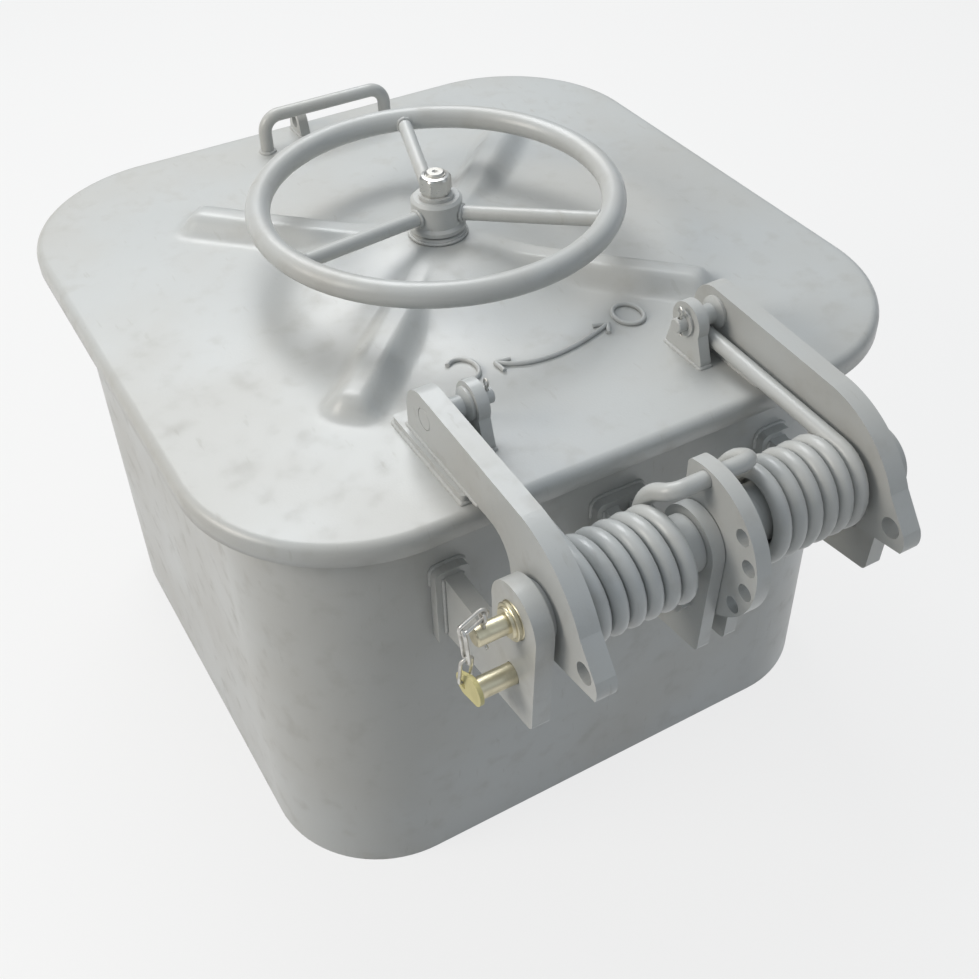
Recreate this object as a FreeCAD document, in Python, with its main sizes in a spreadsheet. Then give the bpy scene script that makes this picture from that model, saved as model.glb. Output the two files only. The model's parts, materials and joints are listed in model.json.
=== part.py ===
import FreeCAD, Part

import math
import os

import Sketcher

# A small quick-acting watertight hatch: a rounded square coaming, a pressed cover on two hinge
# arms with torsion springs, and a handwheel that drives four bolts under the cover.
# X runs along the hinge, +Y points away from it, Z is up, and the coaming's lower edge is z = 0.

DIMENSIONS = [
    ("CoamingHalf", 350), ("CoamingPlate", 8), ("CoamingCorner", 132), ("CoamingHeight", 473),
    ("SeatWidth", 12), ("SeatHeight", 14),
    ("CoverHalf", 381), ("CoverCorner", 168), ("CoverTop", 509), ("CoverPlate", 8),
    ("CoverSkirt", 22), ("CoverEdge", 10),
    ("DomeHeight", 18), ("DomeSpread", 105), ("DomeSeat", 38), ("DomeHalf", 226),
    ("RidgeHeight", 16), ("RidgeWidth", 34), ("RidgeStart", 70), ("RidgeEnd", 268),
    ("GasketWidth", 24), ("GasketThick", 13.8), ("RibThick", 5), ("RibDrop", 12),
    ("HingeY", -484), ("HingeZ", 484), ("ShaftRadius", 18), ("ShaftReach", 232), ("ShaftFarEnd", 212),
    ("RunningGap", 0.05), ("FaceGap", 0.3),
    ("LugOuterX", 195), ("LugPlate", 18), ("LugNose", 35), ("LugTop", 425), ("LugFoot", 350),
    ("LugTipY", -512), ("LugTipZ", 372), ("LugBackFillet", 12),
    ("PadThick", 12), ("PadWidth", 36), ("PadTop", 432), ("PadFoot", 343), ("PadCentre", 60),
    ("CentreInnerX", 8.5), ("CentrePlate", 13),
    ("SectorPlate", 15), ("SectorRadius", 75), ("SectorHub", 30), ("SectorHoles", 64),
    ("SectorHoleRadius", 8.2), ("SectorFirstHole", 142), ("SectorPitch", 25.5),
    ("SectorBoltAngle", 269.5), ("SectorTipAngle", 75), ("SectorEndAngle", 278),
    ("TangRadius", 64), ("TangAngle", 88),
    ("WireRadius", 8), ("CoilRadius", 39), ("CoilInnerX", 43), ("CoilOuterX", 138),
    ("CoilStartAngle", -30), ("CoilTurns", 6), ("CoilEase", 0.12), ("CoilSteps", 8),
    ("WireBend", 14), ("LegBeyond", 18),
    ("MandrelRadius", 27),
    ("ArmInnerX", 150), ("ArmPlate", 20), ("ArmTop", 571), ("ArmBottom", 518),
    ("ArmTipY", -256), ("ArmTipRadius", 28), ("ArmBoss", 46), ("ArmShoulderZ", 563),
    ("ArmTailY", -568), ("HoldRadius", 68), ("TailAngle", 192), ("OpenAngle", 80),
    ("HoldHole", 10.5), ("FootWidth", 32), ("FootBack", -235), ("FootFront", -367),
    ("PinY", -290), ("PinZ", 548), ("PinHead", 11), ("PinShank", 7.5),
    ("SpoolFlange", 16.5), ("SpoolWaist", 10.2), ("SpoolRim", 3),
    ("EarInnerX", 114), ("EarPlate", 12), ("EarRadius", 21), ("EarFoot", 56),
    ("WheelRadius", 187.5), ("WheelBar", 13), ("WheelZ", 579.4), ("SpokeZ", 563),
    ("SpokeRadius", 8), ("SpokeAngle", 73.7), ("HubRadius", 27.5), ("HubFoot", 545.6),
    ("HubTop", 581), ("HubFlange", 30.5),
    ("SpindleRadius", 14), ("StudRadius", 10), ("StudTop", 609), ("SpindleFoot", 416),
    ("GlandRadius", 24), ("GlandFlange", 29), ("GlandTop", 545.2),
    ("CamRadius", 100), ("CamFoot", 466), ("CamPlate", 10), ("CamPinStart", 48),
    ("CamTravel", 36), ("CamTurn", 90), ("CamPin", 6), ("CamSlotGap", 0.4),
    ("DogWidth", 28), ("DogFoot", 452), ("DogPlate", 12), ("DogTip", 388), ("DogHeel", 33),
    ("GuideRadius", 345), ("GuideLength", 18), ("GuideWall", 7), ("GuideGap", 0.5),
    ("BracketReach", 36), ("BracketWidth", 44), ("BracketTop", 473),
    ("HandleX", 15), ("HandleSpan", 162), ("HandleY", 324), ("HandleBar", 8),
    ("HandleTop", 553), ("HandleBend", 20),
    ("EyeX", -10), ("EyeY", 352), ("EyePlate", 12), ("EyeRadius", 15), ("EyeHole", 8),
    ("LockPinRadius", 10), ("LockPinTip", -171.5), ("LockPinEnd", -230),
    ("TabPlate", 4), ("TabRadius", 14), ("TabHole", 4.5), ("ChainWire", 1.7),
    ("CotterWire", 1.5), ("CotterRise", 4),
]

doc = FreeCAD.newDocument("watertight_hatch")
sheet = doc.addObject("Spreadsheet::Sheet", "Dims")
for row, (alias, value) in enumerate(DIMENSIONS, start=1):
    sheet.set(f"A{row}", alias)
    sheet.set(f"B{row}", str(value))
    sheet.setAlias(f"B{row}", alias)
doc.recompute()

NODES = {}
EYE_PER_WIRE = 3.2
WIRE_SIDES = 8
LINK_PLAY = 0.3
TAB_PLAY = 1.0


def size(alias):
    """The number in the sheet's cell of that alias."""
    return float(sheet.get(alias))


def vector(x, y, z=0.0):
    return FreeCAD.Vector(x, y, z)


def polar(radius, degrees):
    """A point in the YZ plane at that radius and angle about the hinge axis."""
    angle = math.radians(degrees)
    return (size("HingeY") + radius * math.cos(angle), size("HingeZ") + radius * math.sin(angle))


def keep(label, piece):
    """Makes piece a node of the hatch under that name."""
    piece.Label = label
    NODES[label] = piece
    return piece


# Sketches and features of a body

def new_body(label):
    return keep(label, doc.addObject("PartDesign::Body", label))


def add_sketch(body, role, offset="0"):
    """A sketch on one of the body's own origin planes, lifted along its normal by an expression."""
    plane = next(o for o in body.Origin.OriginFeatures if o.Role == role)
    sketch = body.newObject("Sketcher::SketchObject", body.Name + "_sketch")
    sketch.AttachmentSupport = (plane, [""])
    sketch.MapMode = "FlatFace"
    sketch.setExpression("AttachmentOffset.Base.z", offset)
    return sketch


def regular(sketch, across, up, corner, sides):
    """A regular outline with its first corner on the sketch's first axis."""
    turns = [2 * math.pi * step / sides for step in range(sides)]
    points = [(across + corner * math.cos(t), up + corner * math.sin(t)) for t in turns]
    outline = Outline(points[0])
    for point in points[1:]:
        outline.line(*point)
    outline.close(sketch)


class Outline:
    """A closed outline of straight runs and arcs, drawn point by point into a sketch."""

    def __init__(self, start):
        self.start = vector(*start)
        self.last = self.start
        self.edges = []

    def line(self, *end):
        end = vector(*end)
        self.edges.append(Part.LineSegment(self.last, end))
        self.last = end
        return self

    def arc(self, middle, end):
        middle, end = vector(*middle), vector(*end)
        self.edges.append(Part.Arc(self.last, middle, end))
        self.last = end
        return self

    def corner(self, centre, radius, start_degrees, end_degrees):
        """An arc about a centre, reached by a straight run where the last point is elsewhere."""
        def at(degrees):
            turn = math.radians(degrees)
            return vector(centre[0] + radius * math.cos(turn), centre[1] + radius * math.sin(turn))
        first = at(start_degrees)
        if (first - self.last).Length > 1e-6:
            self.line(first.x, first.y)
        middle = at((start_degrees + end_degrees) / 2)
        end = at(end_degrees)
        return self.arc((middle.x, middle.y), (end.x, end.y))

    def close(self, sketch):
        if (self.start - self.last).Length > 1e-6:
            self.line(self.start.x, self.start.y)
        for edge in self.edges:
            sketch.addGeometry(edge, False)
        return sketch


def add_circle(sketch, across, up, radius):
    """A circle whose centre and radius are bound to three expressions."""
    circle = Part.Circle(vector(0, 0), vector(0, 0, 1), 1)
    index = sketch.addGeometry(circle, False)
    bound = (("DistanceX", across), ("DistanceY", up))
    for kind, expression in bound:
        number = sketch.addConstraint(Sketcher.Constraint(kind, -1, 1, index, 3, 1.0))
        sketch.setExpression(f"Constraints[{number}]", expression)
    number = sketch.addConstraint(Sketcher.Constraint("Radius", index, 1.0))
    sketch.setExpression(f"Constraints[{number}]", radius)
    return index


def add_rounded_square(sketch, half, corner):
    """A centred square with round corners, both sizes bound to expressions."""
    reach = 10.0
    inner = 6.0
    first = sketch.GeometryCount
    corners = [(1, 1, 0), (-1, 1, 90), (-1, -1, 180), (1, -1, 270)]
    arcs = []
    for across, up, start in corners:
        circle = Part.Circle(vector(across * inner, up * inner), vector(0, 0, 1), reach - inner)
        arc = Part.ArcOfCircle(circle, math.radians(start), math.radians(start + 90))
        arcs.append(sketch.addGeometry(arc, False))
    for index in range(4):
        start = sketch.getPoint(arcs[index], 2)
        end = sketch.getPoint(arcs[(index + 1) % 4], 1)
        line = sketch.addGeometry(Part.LineSegment(start, end), False)
        sketch.addConstraint(Sketcher.Constraint("Tangent", arcs[index], 2, line, 1))
        sketch.addConstraint(Sketcher.Constraint("Tangent", line, 2, arcs[(index + 1) % 4], 1))
        level = "Horizontal" if index % 2 == 0 else "Vertical"
        sketch.addConstraint(Sketcher.Constraint(level, line))
    for index in range(1, 4):
        sketch.addConstraint(Sketcher.Constraint("Equal", arcs[0], arcs[index]))
    number = sketch.addConstraint(Sketcher.Constraint("Radius", arcs[0], reach - inner))
    sketch.setExpression(f"Constraints[{number}]", corner)
    sides = [(first + 4, "DistanceY", 1), (first + 5, "DistanceX", -1),
             (first + 6, "DistanceY", -1), (first + 7, "DistanceX", 1)]
    for line, kind, sign in sides:
        number = sketch.addConstraint(Sketcher.Constraint(kind, -1, 1, line, 1, sign * reach))
        sketch.setExpression(f"Constraints[{number}]", f"{sign} * ({half})")


def pad(body, sketch, length, reverse=False):
    feature = body.newObject("PartDesign::Pad", body.Name + "_pad")
    feature.Profile = sketch
    feature.setExpression("Length", length)
    feature.Reversed = reverse
    sketch.Visibility = False
    return feature


def pocket(body, sketch, length, reverse=False):
    feature = body.newObject("PartDesign::Pocket", body.Name + "_pocket")
    feature.Profile = sketch
    feature.setExpression("Length", length)
    feature.Reversed = reverse
    return feature


def revolve(body, sketch, axis="V_Axis"):
    feature = body.newObject("PartDesign::Revolution", body.Name + "_turned")
    feature.Profile = sketch
    feature.ReferenceAxis = (sketch, [axis])
    feature.Angle = 360
    return feature


def edges_where(feature, test):
    """Names of the feature's edges whose bounding box passes the test."""
    found = []
    for index, edge in enumerate(feature.Shape.Edges, start=1):
        if test(edge.BoundBox):
            found.append(f"Edge{index}")
    return found


def fillet(body, base, names, radius):
    feature = body.newObject("PartDesign::Fillet", body.Name + "_round")
    feature.Base = (base, names)
    feature.setExpression("Radius", radius)
    return feature


def chamfer(body, base, names, width):
    feature = body.newObject("PartDesign::Chamfer", body.Name + "_chamfer")
    feature.Base = (base, names)
    feature.Size = width
    return feature


def pipe(body, profile, path):
    feature = body.newObject("PartDesign::AdditivePipe", body.Name + "_bar")
    feature.Profile = profile
    feature.Spine = (path, [])
    return feature


def place(piece, x="0", y="0", z="0", turn="0"):
    """Binds a piece's position, and its turn about the vertical, to expressions."""
    for axis, expression in (("x", x), ("y", y), ("z", z)):
        piece.setExpression(f"Placement.Base.{axis}", expression)
    piece.Placement = FreeCAD.Placement(piece.Placement.Base, FreeCAD.Rotation(vector(0, 0, 1), 0))
    piece.setExpression("Placement.Rotation.Angle", turn)


# Solids from primitives

def cylinder(name, radius, height, x="0", y="0", z="0", along=None):
    """A cylinder from a base point along a direction, upright where none is given."""
    piece = doc.addObject("Part::Cylinder", name)
    piece.setExpression("Radius", radius)
    piece.setExpression("Height", height)
    if along is not None:
        piece.Placement = FreeCAD.Placement(vector(0, 0), FreeCAD.Rotation(vector(0, 0, 1), along))
    for axis, expression in (("x", x), ("y", y), ("z", z)):
        piece.setExpression(f"Placement.Base.{axis}", expression)
    return piece


def fuse(name, pieces):
    result = doc.addObject("Part::MultiFuse", name)
    result.Shapes = pieces
    result.Refine = True
    return result


def cut(name, base, tool):
    result = doc.addObject("Part::Cut", name)
    result.Base = base
    result.Tool = tool
    return result


def group(label, pieces):
    """Identical loose pieces under one node."""
    result = doc.addObject("Part::Compound", label)
    result.Links = pieces
    return keep(label, result)


def ring(name, inner, outer, thick, x, y="Dims.HingeY", z="Dims.HingeZ"):
    """A flat ring about an axis along X, from x towards +X."""
    along = vector(1, 0, 0)
    outside = cylinder(name + "_outside", outer, thick, x, y, z, along)
    inside = cylinder(name + "_inside", inner, f"({thick}) + 2", f"({x}) - 1", y, z, along)
    return cut(name, outside, inside)


# The coaming and its seat

def build_coaming():
    body = new_body("coaming")
    outside = add_sketch(body, "XY_Plane")
    add_rounded_square(outside, "Dims.CoamingHalf", "Dims.CoamingCorner")
    pad(body, outside, "Dims.CoamingHeight")
    inside = add_sketch(body, "XY_Plane", "Dims.CoamingHeight")
    add_rounded_square(
        inside, "Dims.CoamingHalf - Dims.CoamingPlate", "Dims.CoamingCorner - Dims.CoamingPlate"
    )
    pocket(body, inside, "Dims.CoamingHeight + 1")


def square_ring(label, outer, width, foot, height, reverse=False):
    """A rounded square ring that keeps the coaming's corner centres."""
    body = new_body(label)
    outside = add_sketch(body, "XY_Plane", foot)
    corner = "Dims.CoamingCorner - Dims.CoamingHalf"
    add_rounded_square(outside, outer, f"{corner} + {outer}")
    add_rounded_square(outside, f"{outer} - {width}", f"{corner} + {outer} - {width}")
    return body, pad(body, outside, height, reverse)


def build_seat_bar():
    """The bar on the coaming's edge that the gasket closes on, with its top edges broken."""
    body, base = square_ring(
        "seat_bar", "Dims.CoamingHalf", "Dims.SeatWidth", "Dims.CoamingHeight", "Dims.SeatHeight"
    )
    doc.recompute()
    top = size("CoamingHeight") + size("SeatHeight")
    names = edges_where(base, lambda box: box.ZMin > top - 0.01)
    chamfer(body, base, names, size("SeatWidth") / 4)


def build_brackets():
    """Wedge brackets in the coaming's corners, which the bolts run under."""
    half, corner = size("CoamingHalf"), size("CoamingCorner")
    middle = (half - corner) * math.sqrt(2)
    wall = corner - size("CoamingPlate")
    side = size("BracketWidth") / 2
    lean = math.degrees(math.asin(side / wall))
    inner = middle + wall - size("BracketReach")
    foot = size("DogFoot") + size("DogPlate") + size("FaceGap")
    for number in range(4):
        body = new_body(f"dog_bracket_{number + 1}")
        sketch = add_sketch(body, "XY_Plane", f"{foot}")
        outline = Outline((inner, -side))
        outline.corner((middle, 0), wall, -lean, lean)
        outline.line(inner, side)
        outline.close(sketch)
        base = pad(body, sketch, f"Dims.BracketTop - {foot}")
        doc.recompute()
        mouth = edges_where(
            base, lambda box: box.XMax < inner + 0.01 and box.ZMax < foot + 0.01
        )
        chamfer(body, base, mouth, 5)
        place(body, turn=f"45 + 90 * {number}")


# The hinge pieces that are welded to the coaming

def lug_outline():
    hinge_y, hinge_z, nose = size("HingeY"), size("HingeZ"), size("LugNose")
    wall = -size("CoamingHalf") - size("PadThick")
    tip_y, tip_z, round_tip = size("LugTipY"), size("LugTipZ"), 6
    back = hinge_y + nose
    neck = size("LugTop")
    small = size("LugBackFillet")
    outline = Outline((wall, size("LugFoot")))
    outline.line(tip_y + round_tip, tip_z - 2)
    outline.arc((tip_y + 1, tip_z), (tip_y - 1, tip_z + round_tip))
    outline.line(hinge_y - nose, hinge_z)
    outline.arc((hinge_y, hinge_z + nose), (back, hinge_z))
    outline.corner((back + small, neck + small), small, 180, 270)
    outline.line(wall, neck)
    return outline


def build_lug(label, start, thick, hole_radius, hole_reach, hole_angle):
    body = new_body(label)
    sketch = add_sketch(body, "YZ_Plane", start)
    lug_outline().close(sketch)
    add_circle(sketch, "Dims.HingeY", "Dims.HingeZ", "Dims.ShaftRadius + Dims.RunningGap")
    across, up = polar(size(hole_reach), hole_angle)
    add_circle(sketch, f"{across}", f"{up}", hole_radius)
    base = pad(body, sketch, thick)
    return body, base


def build_lugs():
    hold = size("TailAngle") + size("OpenAngle")
    bolt = size("SectorBoltAngle")
    build_lug("hinge_lug_left", "-Dims.LugOuterX", "Dims.LugPlate", "Dims.HoldHole",
              "HoldRadius", hold)
    build_lug("hinge_lug_right", "Dims.LugOuterX - Dims.LugPlate", "Dims.LugPlate",
              "Dims.HoldHole", "HoldRadius", hold)
    build_lug("centre_lug_left", "-Dims.CentreInnerX - Dims.CentrePlate", "Dims.CentrePlate",
              "Dims.SectorHoleRadius", "SectorHoles", bolt)
    build_lug("centre_lug_right", "Dims.CentreInnerX", "Dims.CentrePlate",
              "Dims.SectorHoleRadius", "SectorHoles", bolt)


def build_pads():
    """Doubler plates between the coaming's wall and the lugs, rounded at the top."""
    middle = size("LugOuterX") - size("LugPlate") / 2
    spans = [("left", -middle, size("PadWidth")), ("centre", 0, size("PadCentre")),
             ("right", middle, size("PadWidth"))]
    pieces = []
    for name, centre, width in spans:
        body = doc.addObject("PartDesign::Body", "pad_" + name)
        sketch = add_sketch(body, "XZ_Plane", "Dims.CoamingHalf")
        left, right = centre - width / 2, centre + width / 2
        foot, top, small = size("PadFoot"), size("PadTop"), 8
        outline = Outline((left, foot))
        outline.line(right, foot)
        outline.corner((right - small, top - small), small, 0, 90)
        outline.corner((left + small, top - small), small, 90, 180)
        outline.close(sketch)
        pad(body, sketch, "Dims.PadThick")
        pieces.append(body)
    group("lug_pads", pieces)


def build_shaft():
    body = new_body("hinge_shaft")
    sketch = add_sketch(body, "YZ_Plane", "-Dims.ShaftReach")
    add_circle(sketch, "Dims.HingeY", "Dims.HingeZ", "Dims.ShaftRadius")
    base = pad(body, sketch, "Dims.ShaftReach + Dims.ShaftFarEnd")
    for across in ("9 - Dims.ShaftReach", "Dims.ShaftFarEnd - 7"):
        hole = add_sketch(body, "XY_Plane", "Dims.HingeZ + Dims.ShaftRadius + 1")
        add_circle(hole, across, "Dims.HingeY", "3.4")
        base = pocket(body, hole, "2 * Dims.ShaftRadius + 2")
    doc.recompute()
    near, far = -size("ShaftReach"), size("ShaftFarEnd")
    ends = edges_where(base, lambda box: box.XMax < near + 0.01 or box.XMin > far - 0.01)
    chamfer(body, base, ends, 2)


def cotter(name, x, height, wire, reach):
    """A split pin bent from one wire: two legs down through a hole and an eye on top."""
    body = doc.addObject("PartDesign::Body", name)
    hinge_y, hinge_z = size("HingeY"), size("HingeZ")
    y, z = (hinge_y, hinge_z) if reach == "ShaftRadius" else (size("PinY"), size("PinZ"))
    gap, eye = wire + 0.1, EYE_PER_WIRE * wire
    top = z + size(reach) + height
    foot = z - size(reach) - height
    path = add_sketch(body, "YZ_Plane", f"{x}")
    spread, lean = cotter_eye(wire)
    cosine, sine = math.cos(lean), math.sin(lean)
    half, rise = math.cos(lean / 2), math.sin(lean / 2)
    eye_z = top + (spread + eye) * sine
    route = Outline((y - gap, foot))
    route.line(y - gap, top)
    neck = y - gap - spread
    route.arc((neck + spread * half, top + spread * rise),
              (neck + spread * cosine, top + spread * sine))
    route.arc((y, eye_z + eye), (2 * y - neck - spread * cosine, top + spread * sine))
    route.arc((2 * y - neck - spread * half, top + spread * rise), (y + gap, top))
    route.line(y + gap, foot)
    for edge in route.edges:
        path.addGeometry(edge, False)
    profile = add_sketch(body, "XY_Plane", f"{foot}")
    regular(profile, x, y - gap, wire, WIRE_SIDES)
    pipe(body, profile, path)
    return body


def cotter_eye(wire):
    """The outward bend's radius under a split pin's eye, and the angle it turns through."""
    spread = 2 * wire
    return spread, math.acos((wire + 0.1 + spread) / (spread + EYE_PER_WIRE * wire))


def build_shaft_fasteners():
    washers = []
    for side, name in ((-1, "left"), (1, "right")):
        face = "Dims.LugOuterX + Dims.FaceGap"
        start = face if side > 0 else f"-({face}) - 3.5"
        washers.append(ring("shaft_washer_" + name, "Dims.ShaftRadius + 0.2", "25", "3.5", start))
    group("shaft_washers", washers)
    rise, wire = size("CotterRise"), size("CotterWire")
    pins = [cotter("shaft_cotter_left", 9 - size("ShaftReach"), rise, wire, "ShaftRadius"),
            cotter("shaft_cotter_right", size("ShaftFarEnd") - 7, rise, wire, "ShaftRadius")]
    group("shaft_cotters", pins)


def build_sector():
    """The plate that turns about the shaft to set the springs, with its row of holes."""
    body = new_body("tension_sector")
    sketch = add_sketch(body, "YZ_Plane", "-Dims.SectorPlate / 2")
    reach, hub = size("SectorRadius"), size("SectorHub")
    tip, end = size("SectorTipAngle"), size("SectorEndAngle")
    outline = Outline(polar(hub, 24))
    outline.line(*polar(reach - 6, tip - 8))
    outline.arc(polar(reach - 1.5, tip - 5), polar(reach, tip))
    outline.arc(polar(reach, (tip + end) / 2), polar(reach, end))
    outline.line(*polar(hub, -30))
    outline.arc(polar(hub, -3), polar(hub, 24))
    outline.close(sketch)
    add_circle(sketch, "Dims.HingeY", "Dims.HingeZ", "Dims.ShaftRadius + Dims.RunningGap")
    angles = [size("SectorFirstHole") + size("SectorPitch") * step for step in range(4)]
    angles.append(size("SectorBoltAngle"))
    for angle in angles:
        across, up = polar(size("SectorHoles"), angle)
        add_circle(sketch, f"{across}", f"{up}", "Dims.SectorHoleRadius")
    across, up = polar(size("TangRadius"), size("TangAngle"))
    add_circle(sketch, f"{across}", f"{up}", "Dims.WireRadius + Dims.FaceGap")
    pad(body, sketch, "Dims.SectorPlate")


def hexagon(sketch, across, up, flats):
    """A hexagon with that width over its flats, standing on a flat."""
    regular(sketch, across, up, flats / math.sqrt(3), 6)


def build_sector_bolt():
    across, up = polar(size("SectorHoles"), size("SectorBoltAngle"))
    face = size("CentreInnerX") + size("CentrePlate")
    body = new_body("sector_bolt")
    head = add_sketch(body, "YZ_Plane", f"{-face - 10}")
    hexagon(head, across, up, 24)
    pad(body, head, "10")
    shank = add_sketch(body, "YZ_Plane", f"{-face}")
    add_circle(shank, f"{across}", f"{up}", "Dims.SectorHoleRadius - 0.3")
    pad(body, shank, f"{2 * face + 18}")
    nut = new_body("sector_nut")
    sketch = add_sketch(nut, "YZ_Plane", f"{face}")
    hexagon(sketch, across, up, 24)
    add_circle(sketch, f"{across}", f"{up}", "Dims.SectorHoleRadius - 0.3")
    pad(nut, sketch, "13")


def build_mandrels():
    """Sleeves on the shaft inside the coils, and the spacers between the arms and the lugs."""
    inner = "Dims.ShaftRadius + 0.3"
    start = "(Dims.CentreInnerX + Dims.CentrePlate + 0.5)"
    length = f"Dims.ArmInnerX - 0.5 - {start}"
    left = ring("mandrel_left", inner, "Dims.MandrelRadius", length, "0.5 - Dims.ArmInnerX")
    right = ring("mandrel_right", inner, "Dims.MandrelRadius", length, start)
    keep("mandrel_left", left)
    keep("mandrel_right", right)
    gap = "(Dims.LugOuterX - Dims.LugPlate - Dims.ArmInnerX - Dims.ArmPlate)"
    face = "Dims.ArmInnerX + Dims.ArmPlate + 0.3"
    spacers = [ring("spacer_left", inner, "Dims.MandrelRadius", f"{gap} - 0.6",
                    f"-({face}) - ({gap} - 0.6)"),
               ring("spacer_right", inner, "Dims.MandrelRadius", f"{gap} - 0.6", face)]
    group("arm_spacers", spacers)


# The springs

def build_spring(label, side):
    """A close-coiled torsion spring: a hooked inner end in the sector, and a straight outer leg."""
    coil, wire = size("CoilRadius"), size("WireRadius")
    first, last = size("CoilInnerX"), size("CoilOuterX")
    axis = vector(0, size("HingeY"), size("HingeZ"))
    # The outer leg leaves the coil on a tangent that runs under the arm's spool.
    leg_y = size("PinY") - size("HingeY")
    leg_z = size("PinZ") - size("SpoolWaist") - wire - size("FaceGap") - size("HingeZ")
    reach = math.hypot(leg_y, leg_z)
    end_angle = math.atan2(leg_z, leg_y) + math.acos(coil / reach)
    start_angle = math.radians(size("CoilStartAngle"))
    sweep = start_angle - end_angle + 2 * math.pi * size("CoilTurns")
    ease = size("CoilEase")
    turns = sweep / (2 * math.pi)

    def advance(done):
        """How far along the coil has come after that many turns, level at both ends."""
        if done < ease:
            run = done * done / (2 * ease)
        elif done > turns - ease:
            run = turns - ease - (turns - done) ** 2 / (2 * ease)
        else:
            run = done - ease / 2
        return first + (last - first) * run / (turns - ease)

    def on_coil(done):
        angle = start_angle - 2 * math.pi * done
        radial = vector(0, math.cos(angle), math.sin(angle))
        return axis + radial * coil + vector(side * advance(done), 0)

    def heading(angle):
        return vector(0, math.sin(angle), -math.cos(angle))

    count = int(round(turns * size("CoilSteps")))
    points = [on_coil(turns * k / count) for k in range(count + 1)]
    begin, straight = heading(start_angle), heading(end_angle)
    spline = Part.BSplineCurve()
    spline.interpolate(
        Points=points, InitialTangent=begin, FinalTangent=straight, Scale=False
    )
    leg_end = points[-1] + straight * (math.sqrt(reach ** 2 - coil ** 2) + size("LegBeyond"))
    edges = [spline.toShape(), Part.LineSegment(points[-1], leg_end).toShape()]
    # The inner end swings out on a wider arc and turns into the sector's hole.
    tang_y, tang_z = polar(size("TangRadius"), size("TangAngle"))
    flat = vector(0, tang_y, tang_z) - axis
    radial = vector(0, math.cos(start_angle), math.sin(start_angle))
    back = begin * -1
    across, sideways = flat.dot(radial) - coil, flat.dot(back)
    small = size("WireBend")
    wide = (across ** 2 + sideways ** 2 - small ** 2) / (-2 * across)
    centre = points[0] - radial * wide
    swing = math.atan2(sideways, across + wide) - math.atan(small / wide)

    def on_arc(turn):
        return centre + (radial * math.cos(turn) + back * math.sin(turn)) * wide

    arc_end = on_arc(swing)
    tangent = back * math.cos(swing) - radial * math.sin(swing)
    arc = Part.Arc(points[0], on_arc(swing / 2), arc_end).toShape()
    into = vector(-side, 0)
    inner = arc_end + into * small
    half_way = inner + (tangent - into) * (small / math.sqrt(2))
    inside = inner + tangent * small
    hooked = Part.Arc(arc_end, half_way, inside).toShape()
    tip = vector(side, inside.y, inside.z)
    edges = [Part.LineSegment(tip, inside).toShape(), hooked, arc] + edges
    section = Part.Wire(Part.Circle(tip, into, wire).toShape())
    piece = doc.addObject("Part::Feature", label)
    path = Part.Wire(Part.__sortEdges__(edges))
    piece.Shape = path.makePipeShell([section], True, False)
    keep(label, piece)


# The arms and what joins them to the cover

def arm_outline():
    hinge_y, hinge_z, boss = size("HingeY"), size("HingeZ"), size("ArmBoss")
    tip, tip_round, bottom = size("ArmTipY"), size("ArmTipRadius"), size("ArmBottom")
    tail = size("ArmTailY")
    throat = bottom - hinge_z
    outline = Outline((tip, bottom))
    outline.corner((tip - tip_round, size("ArmTop") - tip_round), tip_round, 0, 90)
    outline.line(hinge_y + 29, size("ArmShoulderZ"))
    outline.arc((hinge_y - 31, hinge_z + 54), (hinge_y - 59, hinge_z + 18))
    outline.line(tail + 2, hinge_z - 12)
    outline.arc((tail - 1, hinge_z - 22), (tail + 1, hinge_z - 32))
    outline.line(hinge_y, hinge_z - boss)
    outline.corner((hinge_y, hinge_z), boss, 270, 360)
    outline.corner((hinge_y + boss + throat, hinge_z), throat, 180, 90)
    return outline


def build_arms():
    across, up = polar(size("HoldRadius"), size("TailAngle"))
    starts = (("arm_left", "-Dims.ArmInnerX - Dims.ArmPlate"), ("arm_right", "Dims.ArmInnerX"))
    for label, start in starts:
        body = new_body(label)
        sketch = add_sketch(body, "YZ_Plane", start)
        arm_outline().close(sketch)
        add_circle(sketch, "Dims.HingeY", "Dims.HingeZ", "Dims.ShaftRadius + Dims.RunningGap")
        add_circle(sketch, f"{across}", f"{up}", "Dims.HoldHole")
        add_circle(sketch, "Dims.PinY", "Dims.PinZ", "Dims.PinHead")
        pad(body, sketch, "Dims.ArmPlate")


def build_feet():
    """Flat bars under the arms that rest on the cover."""
    middle = size("ArmInnerX") + size("ArmPlate") / 2
    for label, side in (("arm_foot_left", -1), ("arm_foot_right", 1)):
        body = new_body(label)
        sketch = add_sketch(body, "XY_Plane", "Dims.CoverTop + Dims.FaceGap")
        half = size("FootWidth") / 2
        outline = Outline((side * middle - half, size("FootFront")))
        outline.line(side * middle + half, size("FootFront"))
        outline.line(side * middle + half, size("FootBack"))
        outline.line(side * middle - half, size("FootBack"))
        outline.close(sketch)
        base = pad(body, sketch, "Dims.ArmBottom - Dims.CoverTop - Dims.FaceGap")
        doc.recompute()
        corners = edges_where(base, lambda box: box.ZLength > 1 and box.XLength < 0.01)
        fillet(body, base, corners, "4")


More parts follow.
